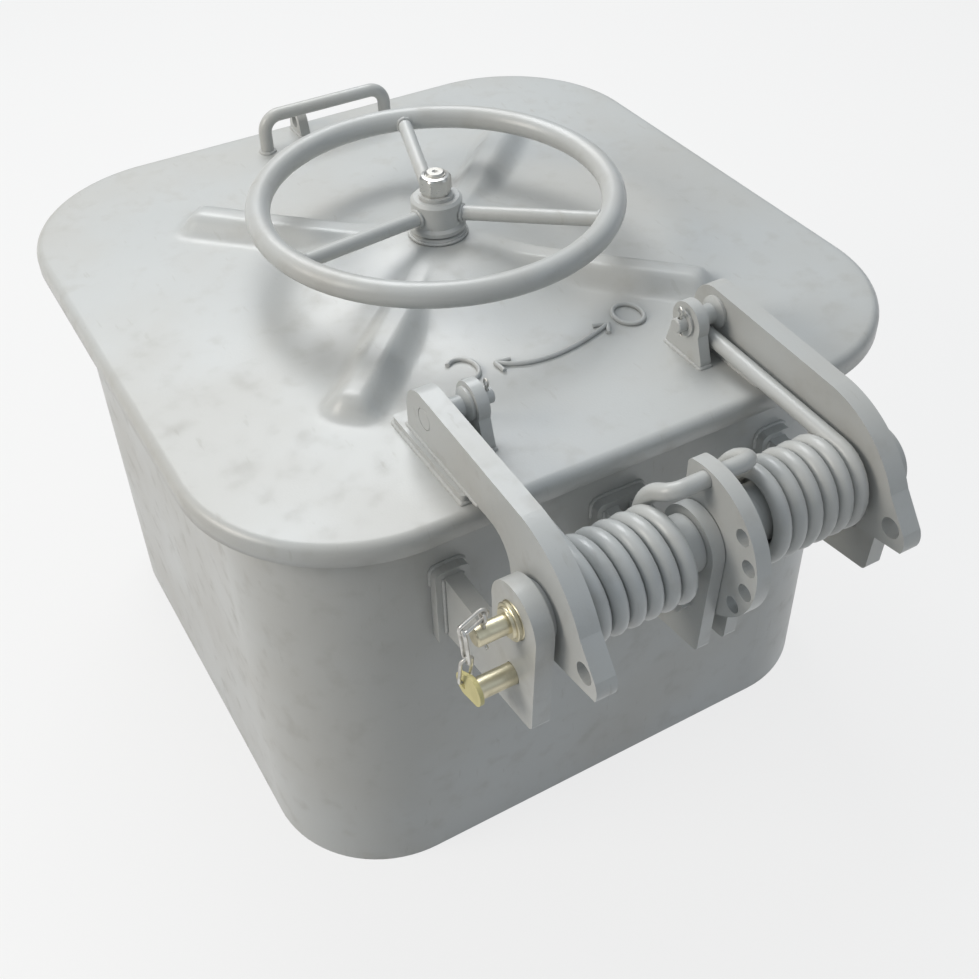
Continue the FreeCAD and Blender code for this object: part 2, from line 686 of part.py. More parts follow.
def build_pins():
    """Stepped pins welded flush in the arms, and the grooved spools that sit on the spring legs."""
    outer = size("ArmInnerX") + size("ArmPlate")
    ear = size("EarInnerX")
    for side, name in ((-1, "left"), (1, "right")):
        pin = new_body("arm_pin_" + name)
        sketch = add_sketch(pin, "XZ_Plane")
        head, shank = size("PinHead"), size("PinShank")
        outline = Outline((side * outer, 0))
        outline.line(side * outer, head - 1)
        outline.line(side * (outer - 1), head)
        outline.line(side * size("ArmInnerX"), head)
        outline.line(side * size("ArmInnerX"), shank)
        outline.line(side * (ear - 12), shank)
        outline.line(side * (ear - 13), shank - 1)
        outline.line(side * (ear - 13), 0)
        outline.close(sketch)
        revolve(pin, sketch, "H_Axis")
        hole = add_sketch(pin, "XY_Plane", f"{shank + 1}")
        add_circle(hole, f"{side * (ear - 7.5)}", "0", "2.4")
        pocket(pin, hole, f"{2 * shank + 2}")
        place(pin, y="Dims.PinY", z="Dims.PinZ")
        spool = new_body("spool_" + name)
        sketch = add_sketch(spool, "XZ_Plane")
        near, far = ear + size("EarPlate") + 0.3, size("ArmInnerX") - 0.3
        bore, waist = shank + 0.1, size("SpoolWaist")
        flange, rim = size("SpoolFlange"), size("SpoolRim")
        middle = (near + far) / 2
        outline = Outline((side * near, bore))
        outline.line(side * near, flange)
        outline.line(side * (near + rim), flange)
        outline.line(side * (middle - 5), waist)
        outline.line(side * (middle + 5), waist)
        outline.line(side * (far - rim), flange)
        outline.line(side * far, flange)
        outline.line(side * far, bore)
        outline.close(sketch)
        revolve(spool, sketch, "H_Axis")
        place(spool, y="Dims.PinY", z="Dims.PinZ")
    washers = []
    for side, name in ((-1, "left"), (1, "right")):
        start = f"{ear - 2.8}" if side > 0 else f"{-ear + 0.3}"
        washers.append(ring("pin_washer_" + name, "Dims.PinShank + 0.2", "13", "2.5", start,
                            "Dims.PinY", "Dims.PinZ"))
    group("pin_washers", washers)
    pins = [cotter("pin_cotter_left", 7.5 - ear, 3, 1.1, "PinShank"),
            cotter("pin_cotter_right", ear - 7.5, 3, 1.1, "PinShank")]
    group("pin_cotters", pins)


def build_ears():
    """The upright lugs on the cover that the arm pins pass through."""
    pin_y, pin_z, radius = size("PinY"), size("PinZ"), size("EarRadius")
    top, foot = size("CoverTop"), size("EarFoot") / 2
    starts = (("cover_lug_left", "-Dims.EarInnerX - Dims.EarPlate"),
              ("cover_lug_right", "Dims.EarInnerX"))
    for label, start in starts:
        body = new_body(label)
        sketch = add_sketch(body, "YZ_Plane", start)
        outline = Outline((pin_y - foot, top))
        outline.line(pin_y + foot, top)
        outline.line(pin_y + foot, top + 6)
        outline.corner((pin_y, pin_z), radius, -20, 200)
        outline.line(pin_y - foot, top + 6)
        outline.close(sketch)
        add_circle(sketch, "Dims.PinY", "Dims.PinZ", "Dims.PinShank + 0.1")
        pad(body, sketch, "Dims.EarPlate")


# The cover

def smooth(value):
    value = min(1.0, max(0.0, value))
    return value * value * (3 - 2 * value)


def dome_height(x, y):
    """Height of the pressed form over the flat plate: a broad boss with four diagonal ridges."""
    spread, width = size("DomeSpread"), size("RidgeWidth")
    radius = math.hypot(x, y)
    height = size("DomeHeight") * max(0.0, 1 - (radius / (2 * spread)) ** 2) ** 3
    along = (abs(x) + abs(y)) / math.sqrt(2)
    across = (abs(x) - abs(y)) / math.sqrt(2)
    crest = max(0.0, 1 - (across / (1.3 * width)) ** 2) ** 2
    rise = smooth((along - size("RidgeStart") / 2) / size("RidgeStart"))
    fall = 1 - smooth((along - size("RidgeEnd") + 26) / 40)
    return height + size("RidgeHeight") * crest * rise * fall


def build_cover():
    pan = doc.addObject("PartDesign::Body", "pan")
    outside = add_sketch(pan, "XY_Plane", "Dims.CoverTop - Dims.CoverSkirt")
    add_rounded_square(outside, "Dims.CoverHalf", "Dims.CoverCorner")
    base = pad(pan, outside, "Dims.CoverSkirt")
    doc.recompute()
    top = size("CoverTop")
    names = edges_where(base, lambda box: box.ZMin > top - 0.01)
    fillet(pan, base, names, "Dims.CoverEdge")
    inside = add_sketch(pan, "XY_Plane", "Dims.CoverTop - Dims.CoverSkirt")
    add_rounded_square(
        inside, "Dims.CoverHalf - Dims.CoverPlate", "Dims.CoverCorner - Dims.CoverPlate"
    )
    base = pocket(pan, inside, "Dims.CoverSkirt - Dims.CoverPlate", True)
    doc.recompute()
    roof = top - size("CoverPlate")
    names = edges_where(base, lambda box: abs(box.ZMin - roof) < 0.01 and box.ZLength < 0.01)
    fillet(pan, base, names, "Dims.CoverPlate - 1")
    opening = add_sketch(pan, "XY_Plane", "Dims.CoverTop + 1")
    half = size("DomeHalf")
    square = Outline((-half, -half)).line(half, -half).line(half, half).line(-half, half)
    square.close(opening)
    pocket(pan, opening, "Dims.CoverPlate + 2")
    steps = 28
    grid = []
    for row in range(steps + 1):
        y = -half + 2 * half * row / steps
        xs = [-half + 2 * half * column / steps for column in range(steps + 1)]
        grid.append([vector(x, y, top + dome_height(x, y)) for x in xs])
    inner = list(range(1, steps - 2))
    counts = [4] + [1] * len(inner) + [4]
    knots = [0] + inner + [steps - 2]
    surface = Part.BSplineSurface()
    surface.buildFromPolesMultsKnots(grid, counts, counts, knots, knots, False, False, 3, 3)
    dome = doc.addObject("Part::Feature", "dome")
    dome.Shape = surface.toShape().extrude(vector(0, 0, -size("CoverPlate")))
    thick = size("CoverPlate") + 2
    seat = cylinder("dome_seat", "Dims.DomeSeat", f"{thick}",
                    z=f"Dims.CoverTop + Dims.DomeHeight + 0.5 - {thick}")
    seated = fuse("dome_seated", [dome, seat])
    bore = cylinder("cover_bore", "Dims.SpindleRadius + 1", "80", z="Dims.CoverTop - 30")
    keep("cover_pan", fuse("cover_pan", [pan, cut("dome_bored", seated, bore)]))


def build_gasket():
    """The gasket over the seat bar, and the two ribs that hold it."""
    roof = "(Dims.CoverTop - Dims.CoverPlate)"
    middle = "(Dims.CoamingHalf - Dims.SeatWidth / 2)"
    outer = f"({middle} + Dims.GasketWidth / 2)"
    square_ring("gasket", outer, "Dims.GasketWidth", roof, "Dims.GasketThick", True)
    body, _ = square_ring(
        "gasket_ribs", f"({outer} + Dims.RibThick)", "Dims.RibThick", roof, "Dims.RibDrop", True
    )
    inner = add_sketch(body, "XY_Plane", roof)
    corner = "Dims.CoamingCorner - Dims.CoamingHalf"
    reach = f"({outer} - Dims.GasketWidth)"
    add_rounded_square(inner, reach, f"{corner} + {reach}")
    add_rounded_square(inner, f"{reach} - Dims.RibThick", f"{corner} + {reach} - Dims.RibThick")
    return body, inner


def build_handle():
    body = new_body("lifting_handle")
    path = add_sketch(body, "XZ_Plane", "-Dims.HandleY")
    left = size("HandleX") - size("HandleSpan") / 2
    right = left + size("HandleSpan")
    foot, top, curve = size("CoverTop"), size("HandleTop"), size("HandleBend")
    route = Outline((left, foot))
    route.corner((left + curve, top - curve), curve, 180, 90)
    route.corner((right - curve, top - curve), curve, 90, 0)
    route.line(right, foot)
    for edge in route.edges:
        path.addGeometry(edge, False)
    profile = add_sketch(body, "XY_Plane", "Dims.CoverTop")
    add_circle(profile, "Dims.HandleX - Dims.HandleSpan / 2", "Dims.HandleY", "Dims.HandleBar")
    pipe(body, profile, path)


def build_eye():
    """A small pierced plate behind the handle, for a padlock or a lanyard."""
    body = new_body("rear_eye")
    sketch = add_sketch(body, "YZ_Plane", "Dims.EyeX - Dims.EyePlate / 2")
    y, foot, radius = size("EyeY"), size("CoverTop"), size("EyeRadius")
    centre = foot + radius
    outline = Outline((y - radius - 4, foot))
    outline.line(y + radius + 2, foot)
    outline.corner((y, centre), radius, 10, 170)
    outline.close(sketch)
    add_circle(sketch, "Dims.EyeY", f"{centre}", "Dims.EyeHole")
    pad(body, sketch, "Dims.EyePlate")


def build_guides():
    """Hoops under the cover that the four bolts slide in."""
    roof = size("CoverTop") - size("CoverPlate")
    gap, wall = size("GuideGap"), size("GuideWall")
    half = size("DogWidth") / 2 + gap
    foot, head = size("DogFoot") - gap, size("DogFoot") + size("DogPlate") + gap
    for number in range(4):
        body = new_body(f"dog_guide_{number + 1}")
        sketch = add_sketch(body, "YZ_Plane", "Dims.GuideRadius - Dims.GuideLength / 2")
        outline = Outline((-half - wall + 3, foot - wall))
        outline.corner((half + wall - 3, foot - wall + 3), 3, -90, 0)
        outline.line(half + wall, roof)
        outline.line(-half - wall, roof)
        outline.corner((-half - wall + 3, foot - wall + 3), 3, 180, 270)
        outline.close(sketch)
        hole = Outline((-half, foot)).line(half, foot).line(half, head).line(-half, head)
        hole.close(sketch)
        pad(body, sketch, "Dims.GuideLength")
        place(body, turn=f"45 + 90 * {number}")


# The handwheel and the bolts

def build_gland():
    body = new_body("spindle_gland")
    sketch = add_sketch(body, "XZ_Plane")
    foot = size("CoverTop") + size("DomeHeight") + 0.5
    bore, flange, radius = size("SpindleRadius"), size("GlandFlange"), size("GlandRadius")
    bore += size("RunningGap")
    top = size("GlandTop")
    outline = Outline((bore, foot))
    outline.line(flange, foot).line(flange, foot + 4).line(flange - 2, foot + 6)
    outline.line(radius + 2, foot + 6).line(radius, foot + 8)
    outline.line(radius, top - 2).line(radius - 2, top).line(bore, top)
    outline.close(sketch)
    revolve(body, sketch)


def build_wheel():
    """The handwheel: a round rim, three rising spokes and a flanged hub."""
    hub = doc.addObject("PartDesign::Body", "hub")
    sketch = add_sketch(hub, "XZ_Plane")
    foot, top = size("HubFoot"), size("HubTop")
    radius, flange = size("HubRadius"), size("HubFlange")
    outline = Outline((1, foot))
    outline.line(flange - 1, foot)
    outline.line(flange, foot + 1)
    outline.line(flange, foot + 5)
    outline.line(radius + 2, foot + 6).line(radius, foot + 8)
    outline.line(radius, top - 3).line(radius - 3, top).line(1, top)
    outline.close(sketch)
    revolve(hub, sketch)
    rim = doc.addObject("Part::Torus", "rim")
    rim.setExpression("Radius1", "Dims.WheelRadius")
    rim.setExpression("Radius2", "Dims.WheelBar")
    rim.setExpression("Placement.Base.z", "Dims.WheelZ")
    pieces = [hub, rim]
    reach = size("WheelRadius") - 10
    lift = (size("WheelZ") - size("SpokeZ")) * reach / size("WheelRadius")
    for number in range(3):
        turn = math.radians(size("SpokeAngle") + 120 * number)
        along = vector(math.cos(turn) * reach, math.sin(turn) * reach, lift)
        start = [f"{10 * math.cos(turn)}", f"{10 * math.sin(turn)}", "Dims.SpokeZ"]
        pieces.append(cylinder(f"spoke_{number + 1}", "Dims.SpokeRadius", f"{along.Length}",
                               *start, along))
    whole = fuse("wheel_blank", pieces)
    bore = cylinder("wheel_bore", "Dims.SpindleRadius - 2", "60", z="Dims.HubFoot - 10")
    keep("handwheel", cut("handwheel", whole, bore))


def build_spindle():
    body = new_body("spindle")
    sketch = add_sketch(body, "XZ_Plane")
    foot, hub, top = size("SpindleFoot"), size("HubFoot"), size("HubTop")
    radius, stud, end = size("SpindleRadius"), size("StudRadius"), size("StudTop")
    outline = Outline((0, foot))
    outline.line(radius - 1.5, foot)
    outline.line(radius, foot + 1.5)
    outline.line(radius, hub)
    outline.line(radius - 2, hub)
    outline.line(radius - 2, top)
    outline.line(stud, top)
    outline.line(stud, end - 1.5)
    outline.line(stud - 1.5, end)
    outline.line(3, end)
    outline.line(0, end - 3)
    outline.close(sketch)
    revolve(body, sketch)


def build_wheel_fasteners():
    washer = new_body("wheel_washer")
    sketch = add_sketch(washer, "XY_Plane", "Dims.HubTop")
    add_circle(sketch, "0", "0", "19")
    add_circle(sketch, "0", "0", "Dims.StudRadius + 0.3")
    pad(washer, sketch, "4")
    nut = doc.addObject("PartDesign::Body", "nut_blank")
    sketch = add_sketch(nut, "XY_Plane", "Dims.HubTop + 4")
    hexagon(sketch, 0, 0, 30)
    add_circle(sketch, "0", "0", "Dims.StudRadius")
    pad(nut, sketch, "21")
    shape = doc.addObject("PartDesign::Body", "nut_crown")
    sketch = add_sketch(shape, "XZ_Plane")
    foot = size("HubTop") + 4
    outline = Outline((0, foot)).line(15.6, foot).line(18, foot + 2).line(18, foot + 16)
    outline.line(13.5, foot + 21).line(0, foot + 21)
    outline.close(sketch)
    revolve(shape, sketch)
    crowned = doc.addObject("Part::Common", "wheel_nut")
    crowned.Base = nut
    crowned.Tool = shape
    keep("wheel_nut", crowned)


def spiral_slot(sketch, turn, half_width):
    """A slot along an Archimedean spiral, so a turn of the disc moves its pin evenly."""
    start, travel, sweep = size("CamPinStart"), size("CamTravel"), size("CamTurn")
    rate = travel / math.radians(sweep)
    margin = 5
    steps = 5
    span = sweep + 2 * margin

    def edge(degrees, side):
        angle = math.radians(turn + degrees)
        radius = start + travel * degrees / sweep
        radial = vector(math.cos(angle), math.sin(angle))
        sideways = vector(-math.sin(angle), math.cos(angle))
        normal = (radial * radius - sideways * rate).normalize()
        point = radial * radius + normal * (side * half_width)
        return (point.x, point.y), (sideways * radius + radial * rate).normalize(), radial * radius

    stations = [-margin + span * k / (2 * steps) for k in range(2 * steps + 1)]
    outline = Outline(edge(stations[0], 1)[0])
    for k in range(steps):
        outline.arc(edge(stations[2 * k + 1], 1)[0], edge(stations[2 * k + 2], 1)[0])
    _, heading, centre = edge(stations[-1], 1)
    cap = centre + heading * half_width
    outline.arc((cap.x, cap.y), edge(stations[-1], -1)[0])
    for k in reversed(range(steps)):
        outline.arc(edge(stations[2 * k + 1], -1)[0], edge(stations[2 * k], -1)[0])
    _, heading, centre = edge(stations[0], 1)
    cap = centre - heading * half_width
    outline.arc((cap.x, cap.y), edge(stations[0], 1)[0])
    outline.close(sketch)


def build_cam():
    body = new_body("cam_disc")
    sketch = add_sketch(body, "XY_Plane", "Dims.CamFoot")
    add_circle(sketch, "0", "0", "Dims.CamRadius")
    add_circle(sketch, "0", "0", "Dims.SpindleRadius")
    for number in range(4):
        spiral_slot(sketch, 45 + 90 * number, size("CamPin") + size("CamSlotGap"))
    pad(body, sketch, "Dims.CamPlate")


def build_bolts():
    """The four flat bolts, each with the headed pin that rides in the disc."""
    half, tip, heel = size("DogWidth") / 2, size("DogTip"), size("DogHeel")
    for number in range(4):
        body = new_body(f"dog_bolt_{number + 1}")
        sketch = add_sketch(body, "XY_Plane", "Dims.DogFoot")
        outline = Outline((heel + 5, -half))
        outline.line(tip - 4, -half)
        outline.corner((tip - 4, -half + 4), 4, -90, 0)
        outline.corner((tip - 4, half - 4), 4, 0, 90)
        outline.line(heel + 5, half)
        outline.arc((heel, 0), (heel + 5, -half))
        outline.close(sketch)
        pad(body, sketch, "Dims.DogPlate")
        pin = add_sketch(body, "XY_Plane", "Dims.DogFoot + Dims.DogPlate")
        add_circle(pin, "Dims.CamPinStart", "0", "Dims.CamPin")
        pad(body, pin, "Dims.CamFoot + Dims.CamPlate - Dims.DogFoot - Dims.DogPlate + 0.4")
        head = add_sketch(body, "XY_Plane", "Dims.CamFoot + Dims.CamPlate + 0.4")
        add_circle(head, "Dims.CamPinStart", "0", "Dims.CamPin + 3")
        pad(body, head, "3")
        place(body, turn=f"45 + 90 * {number}")


def build_inner_handle():
    """The cross bar that turns the spindle from below deck."""
    body = new_body("inner_handle")
    reach, half = 120, 14
    sketch = add_sketch(body, "XY_Plane", "Dims.SpindleFoot + 4")
    outline = Outline((-reach, -half)).line(reach, -half)
    outline.arc((reach + half, 0), (reach, half))
    outline.line(-reach, half)
    outline.arc((-reach - half, 0), (-reach, -half))
    outline.close(sketch)
    pad(body, sketch, "12")
    boss = add_sketch(body, "XY_Plane", "Dims.SpindleFoot + 2")
    add_circle(boss, "0", "0", "Dims.SpindleRadius + 10")
    pad(body, boss, "18")
    hole = add_sketch(body, "XY_Plane", "Dims.SpindleFoot + 30")
    add_circle(hole, "0", "0", "Dims.SpindleRadius")
    pocket(body, hole, "40")
    for side in (-1, 1):
        grip = add_sketch(body, "XY_Plane", "Dims.SpindleFoot + 10")
        add_circle(grip, f"{side * reach}", "0", "10")
        pad(body, grip, "51", True)


# The lock pin on its chain

def hold_hole():
    return polar(size("HoldRadius"), size("TailAngle") + size("OpenAngle"))


def build_lock_pin():
    y, z = hold_hole()
    body = new_body("lock_pin")
    sketch = add_sketch(body, "YZ_Plane", "Dims.LockPinEnd")
    add_circle(sketch, f"{y}", f"{z}", "Dims.LockPinRadius")
    base = pad(body, sketch, "Dims.LockPinTip - Dims.LockPinEnd")
    doc.recompute()
    tip = size("LockPinTip")
    chamfer(body, base, edges_where(base, lambda box: box.XMin > tip - 0.01), 2)
    tab = new_body("pin_tab")
    sketch = add_sketch(tab, "YZ_Plane", "Dims.LockPinEnd - Dims.TabPlate")
    hole_y, hole_z = tab_hole()
    radius = size("TabRadius")
    lean = math.degrees(math.atan2(hole_z - z, hole_y - y))
    outline = Outline((y + radius * math.cos(math.radians(lean + 90)),
                       z + radius * math.sin(math.radians(lean + 90))))
    outline.corner((y, z), radius, lean + 90, lean + 270)
    outline.corner((hole_y, hole_z), radius - 3, lean - 90, lean + 90)
    outline.close(sketch)
    add_circle(sketch, f"{hole_y}", f"{hole_z}", "Dims.TabHole")
    pad(tab, sketch, "Dims.TabPlate")


def tab_hole():
    y, z = hold_hole()
    return y + 17, z - 8


def chain_link(name, start, end, normal, wire):
    """One long wire loop between two joints of the chain, lying across the given normal."""
    along = (end - start).normalize()
    curve = EYE_PER_WIRE * wire
    normal = (normal - along * normal.dot(along)).normalize()
    aside = normal.cross(along) * curve
    first = start + along * (curve - wire - LINK_PLAY)
    last = end - along * (curve - wire - LINK_PLAY)
    edges = [Part.LineSegment(first - aside, last - aside).toShape(),
             Part.Arc(last - aside, last + along * curve, last + aside).toShape(),
             Part.LineSegment(last + aside, first + aside).toShape(),
             Part.Arc(first + aside, first - along * curve, first - aside).toShape()]
    turns = [2 * math.pi * step / WIRE_SIDES for step in range(WIRE_SIDES + 1)]
    out = aside / curve * wire
    corners = [first - aside + out * math.cos(t) + normal * (wire * math.sin(t)) for t in turns]
    piece = doc.addObject("Part::Feature", name)
    piece.Shape = Part.Wire(edges).makePipeShell([Part.makePolygon(corners)], True, False)
    return piece


def build_chain():
    """Three long loops from the left split pin's eye, past the shaft's end, to the tab's hole."""
    wire = size("ChainWire")
    pin_wire = size("CotterWire")
    spread, lean = cotter_eye(pin_wire)
    eye = EYE_PER_WIRE * pin_wire
    crown = size("HingeZ") + size("ShaftRadius") + size("CotterRise")
    crown += (spread + eye) * math.sin(lean) + eye
    hinge_y, end = size("HingeY"), -size("ShaftReach")
    hole_y, hole_z = tab_hole()
    rim = hole_z + size("TabHole") - TAB_PLAY
    joints = [vector(end + 9 + pin_wire + 0.1, hinge_y, crown),
              vector(end - 10, hinge_y, crown - 11),
              vector(end - 2, hinge_y + 6, crown - 62),
              vector(size("LockPinEnd") - size("TabPlate") / 2, hole_y, rim)]
    across, along_shaft = vector(0, 1), vector(1, 0)
    normals = [across, along_shaft, across]
    links = [chain_link(f"link_{k + 1}", joints[k], joints[k + 1], normals[k], wire)
             for k in range(len(normals))]
    group("pin_chain", links)


def build_all():
    build_coaming()
    build_seat_bar()
    build_brackets()
    build_lugs()
    build_pads()
    build_shaft()
    build_shaft_fasteners()
    build_sector()
    build_sector_bolt()
    build_mandrels()
    build_spring("spring_left", -1)
    build_spring("spring_right", 1)
    build_arms()
    build_feet()
    build_pins()
    build_ears()
    build_cover()
    body, sketch = build_gasket()
    pad(body, sketch, "Dims.RibDrop", True)
    build_handle()
    build_eye()
    build_guides()
    build_gland()
    build_wheel()
    build_spindle()
    build_wheel_fasteners()
    build_cam()
    build_bolts()
    build_inner_handle()
    build_lock_pin()
    build_chain()


def check_and_write():
    doc.recompute()
    faults = [o.Name for o in doc.Objects if "Invalid" in o.State or "Error" in o.State]
    for label, piece in NODES.items():
        shape = piece.Shape
        if shape.isNull() or not shape.isValid() or shape.Volume <= 0:
            faults.append(label)
    if faults:
        raise RuntimeError("failed objects: " + ", ".join(faults))
    os.makedirs("parts", exist_ok=True)
    for label, piece in NODES.items():
        piece.Shape.exportStep(f"parts/{label}.step")
        box = piece.Shape.BoundBox
        print(f"{label:20s} solids {len(piece.Shape.Solids)} volume {piece.Shape.Volume:12.0f} "
              f"x {box.XMin:.1f} {box.XMax:.1f} y {box.YMin:.1f} {box.YMax:.1f} "
              f"z {box.ZMin:.1f} {box.ZMax:.1f}")


build_all()
check_and_write()
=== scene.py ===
"""The looks of a square watertight hatch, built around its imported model.

Every length is in metres, in the model's own frame: X along the hinge, +Y away from it, Z up.
"""
import json
import logging
import math
import random
from dataclasses import dataclass
from enum import Enum
from typing import Any, Callable, Iterable, Sequence

import bmesh
import bpy
from mathutils import Matrix, Vector


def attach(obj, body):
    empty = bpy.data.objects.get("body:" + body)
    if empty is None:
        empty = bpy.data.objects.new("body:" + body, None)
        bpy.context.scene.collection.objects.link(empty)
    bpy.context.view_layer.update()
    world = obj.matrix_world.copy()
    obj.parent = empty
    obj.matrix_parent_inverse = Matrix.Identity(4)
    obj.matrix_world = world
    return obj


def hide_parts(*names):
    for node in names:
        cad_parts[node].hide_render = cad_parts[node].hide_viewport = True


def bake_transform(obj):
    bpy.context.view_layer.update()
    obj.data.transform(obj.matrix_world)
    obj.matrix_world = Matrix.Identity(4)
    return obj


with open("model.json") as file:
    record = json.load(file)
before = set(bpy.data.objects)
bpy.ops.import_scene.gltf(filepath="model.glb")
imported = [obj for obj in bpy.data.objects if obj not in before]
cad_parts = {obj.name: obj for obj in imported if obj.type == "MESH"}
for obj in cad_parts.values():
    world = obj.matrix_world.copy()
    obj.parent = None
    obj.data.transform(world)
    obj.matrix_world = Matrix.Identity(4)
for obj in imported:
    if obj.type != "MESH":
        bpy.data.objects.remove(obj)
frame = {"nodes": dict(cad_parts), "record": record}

log = logging.getLogger("hatch")

Colour = tuple[float, float, float]
Place = tuple[float, float, float]
Pairs = tuple[tuple[float, float], ...]
Mesh = tuple[list[Vector], list[list[int]]]


class Slot(Enum):
    """The record's material slots that new pieces take their finish from."""

    PAINT = "grey_paint"
    ZINC = "zinc_plate"
    BRIGHT = "bright_steel"
    BARE = "bare_steel"
    YELLOW = "yellow_paint"
    RUBBER = "gasket_rubber"


# Shader maths


class Socket:
    """A shader value whose arithmetic adds Math nodes to its graph."""

    def __init__(self, graph: "Nodes", link: bpy.types.NodeSocket) -> None:
        """Keeps the graph and the output socket that carries the value."""
        self.graph = graph
        self.link = link

    def maths(self, operation: str, first: Any, second: Any = None) -> "Socket":
        """Adds one Math node.

        Args:
            operation: the node's operation.
            first: its first value or link.
            second: its second value or link, where it has one.

        Returns:
            The node's result.
        """
        values = {0: first} if second is None else {0: first, 1: second}
        return self.graph.add("ShaderNodeMath", {"operation": operation}, values)

    def __add__(self, other: Any) -> "Socket":
        """The sum."""
        return self.maths("ADD", self, other)

    __radd__ = __add__

    def __sub__(self, other: Any) -> "Socket":
        """The difference."""
        return self.maths("SUBTRACT", self, other)

    def __rsub__(self, other: Any) -> "Socket":
        """The difference, taken from a number."""
        return self.maths("SUBTRACT", other, self)

    def __mul__(self, other: Any) -> "Socket":
        """The product."""
        return self.maths("MULTIPLY", self, other)

    __rmul__ = __mul__

    def ramp(self, low: float, high: float) -> "Socket":
        """A smooth step from nought at low to one at high."""
        settings = {"interpolation_type": "SMOOTHSTEP"}
        return self.graph.add("ShaderNodeMapRange", settings, {0: self, 1: low, 2: high})


class Nodes:
    """A node tree, with one way to add to it."""

    def __init__(self, tree: bpy.types.NodeTree) -> None:
        """Keeps the tree."""
        self.tree = tree

    def add(self, kind: str, settings: dict[str, Any], values: dict[Any, Any],
            output: Any = 0) -> Socket:
        """Adds a node.

        Args:
            kind: the node's type.
            settings: its properties, which are set first.
            values: the values or links of its input sockets, by name or number.
            output: the output socket that is wanted, by name or number.

        Returns:
            That output, wrapped.
        """
        node = self.tree.nodes.new(kind)
        for key, value in settings.items():
            setattr(node, key, value)
        for key, value in values.items():
            self.feed(node.inputs[key], value)
        return Socket(self, node.outputs[output])

    def feed(self, socket: bpy.types.NodeSocket, value: Any) -> None:
        """Links a wrapped socket to an input, or sets the input's own value."""
        if isinstance(value, Socket):
            self.tree.links.new(value.link, socket)
        elif isinstance(value, tuple) and len(value) == 3 and socket.type == "RGBA":
            socket.default_value = (*value, 1)
        else:
            socket.default_value = value

    def mix(self, share: Any, first: Any, second: Any) -> Socket:
        """A blend of two colours."""
        values = {"Factor": share, 6: first, 7: second}
        return self.add("ShaderNodeMix", {"data_type": "RGBA"}, values, 2)


class Graph(Nodes):
    """One material's node tree, with short ways to dress its surface."""

    def __init__(self, name: str) -> None:
        """Starts a material of that name with one principled shader."""
        self.material = bpy.data.materials.new(name)
        self.material.use_nodes = True
        super().__init__(self.material.node_tree)
        self.tree.nodes.clear()
        self.shader = self.tree.nodes.new("ShaderNodeBsdfPrincipled")
        output = self.tree.nodes.new("ShaderNodeOutputMaterial")
        self.tree.links.new(self.shader.outputs["BSDF"], output.inputs["Surface"])

    def dress(self, **values: Any) -> None:
        """Sets the principled shader's sockets, by name with _ for a space."""
        for key, value in values.items():
            self.feed(self.shader.inputs[key.replace("_", " ")], value)

    def whiten(self, share: Socket) -> None:
        """Lets the surface shine white for that share of what is seen of it."""
        glow = self.add("ShaderNodeEmission", {}, {"Color": (1.0, 1.0, 1.0), "Strength": 1.0})
        both = self.add("ShaderNodeMixShader", {}, {0: share, 2: glow})
        output = next(n for n in self.tree.nodes if n.type == "OUTPUT_MATERIAL")
        self.tree.links.new(self.shader.outputs["BSDF"], both.link.node.inputs[1])
        self.tree.links.new(both.link, output.inputs["Surface"])

    def place(self) -> Socket:
        """The point on the surface, in metres."""
        return self.add("ShaderNodeTexCoord", {}, {}, "Object")

    def stretch(self, scale: Place) -> Socket:
        """The point on the surface with each axis multiplied."""
        return self.add("ShaderNodeVectorMath", {"operation": "MULTIPLY"},
                        {0: self.place(), 1: scale})

    def noise(self, scale: float, detail: float = 3.0, at: Socket | None = None) -> Socket:
        """Cloudy noise about one half.

        Args:
            scale: patches per metre.
            detail: octaves of finer noise.
            at: another point than the surface's own.

        Returns:
            The noise's value.
        """
        where = at or self.place()
        values = {"Vector": where, "Scale": scale, "Detail": detail}
        return self.add("ShaderNodeTexNoise", {}, values, "Fac")

    def bump(self, height: Socket, distance: float, below: Socket | None = None) -> Socket:
        """A normal bent by a height.

        Args:
            height: the height, from nought to one.
            distance: how far one stands out, in metres.
            below: a normal from a coarser bump.

        Returns:
            The new normal.
        """
        values = {"Height": height, "Distance": distance, "Strength": 1.0}
        if below is not None:
            values["Normal"] = below
        return self.add("ShaderNodeBump", {}, values, "Normal")


# Finishes


@dataclass(frozen=True)
class SprayedPaint:
    """Semi-gloss paint sprayed over rolled and welded plate."""

    name: str
    colour: Colour
    dusty: Colour
    gloss: float = 0.3
    waviness: float = 0.0007
    peel: float = 0.00009

    def material(self) -> bpy.types.Material:
        """Builds the paint with its clouding, dust, scuffs, waves and orange peel."""
        graph = Graph(self.name)
        cloud = graph.noise(5.0, 4.0).ramp(0.34, 0.68)
        dust = graph.noise(38.0, 6.0).ramp(0.5, 0.78)
        specks = graph.noise(900.0, 1.0).ramp(0.7, 0.78)
        scuffs = graph.noise(9.0, 8.0, graph.stretch((14.0, 3.0, 3.0))).ramp(0.66, 0.72)
        base = graph.mix(cloud * 0.5, self.colour, self.dusty)
        dull = tuple(0.86 * c for c in self.dusty)
        base = graph.mix(dust * 0.35 + scuffs * 0.25, base, dull)
        base = graph.mix(specks * 0.25, base, tuple(0.6 * c for c in self.colour))
        rough = cloud * 0.07 + dust * 0.12 + scuffs * 0.08 + self.gloss
        waves = graph.bump(graph.noise(7.0, 1.0), self.waviness)
        normal = graph.bump(graph.noise(420.0, 2.0), self.peel, waves)
        graph.dress(Base_Color=base, Roughness=rough, Normal=normal, Specular_IOR_Level=0.5)
        return graph.material


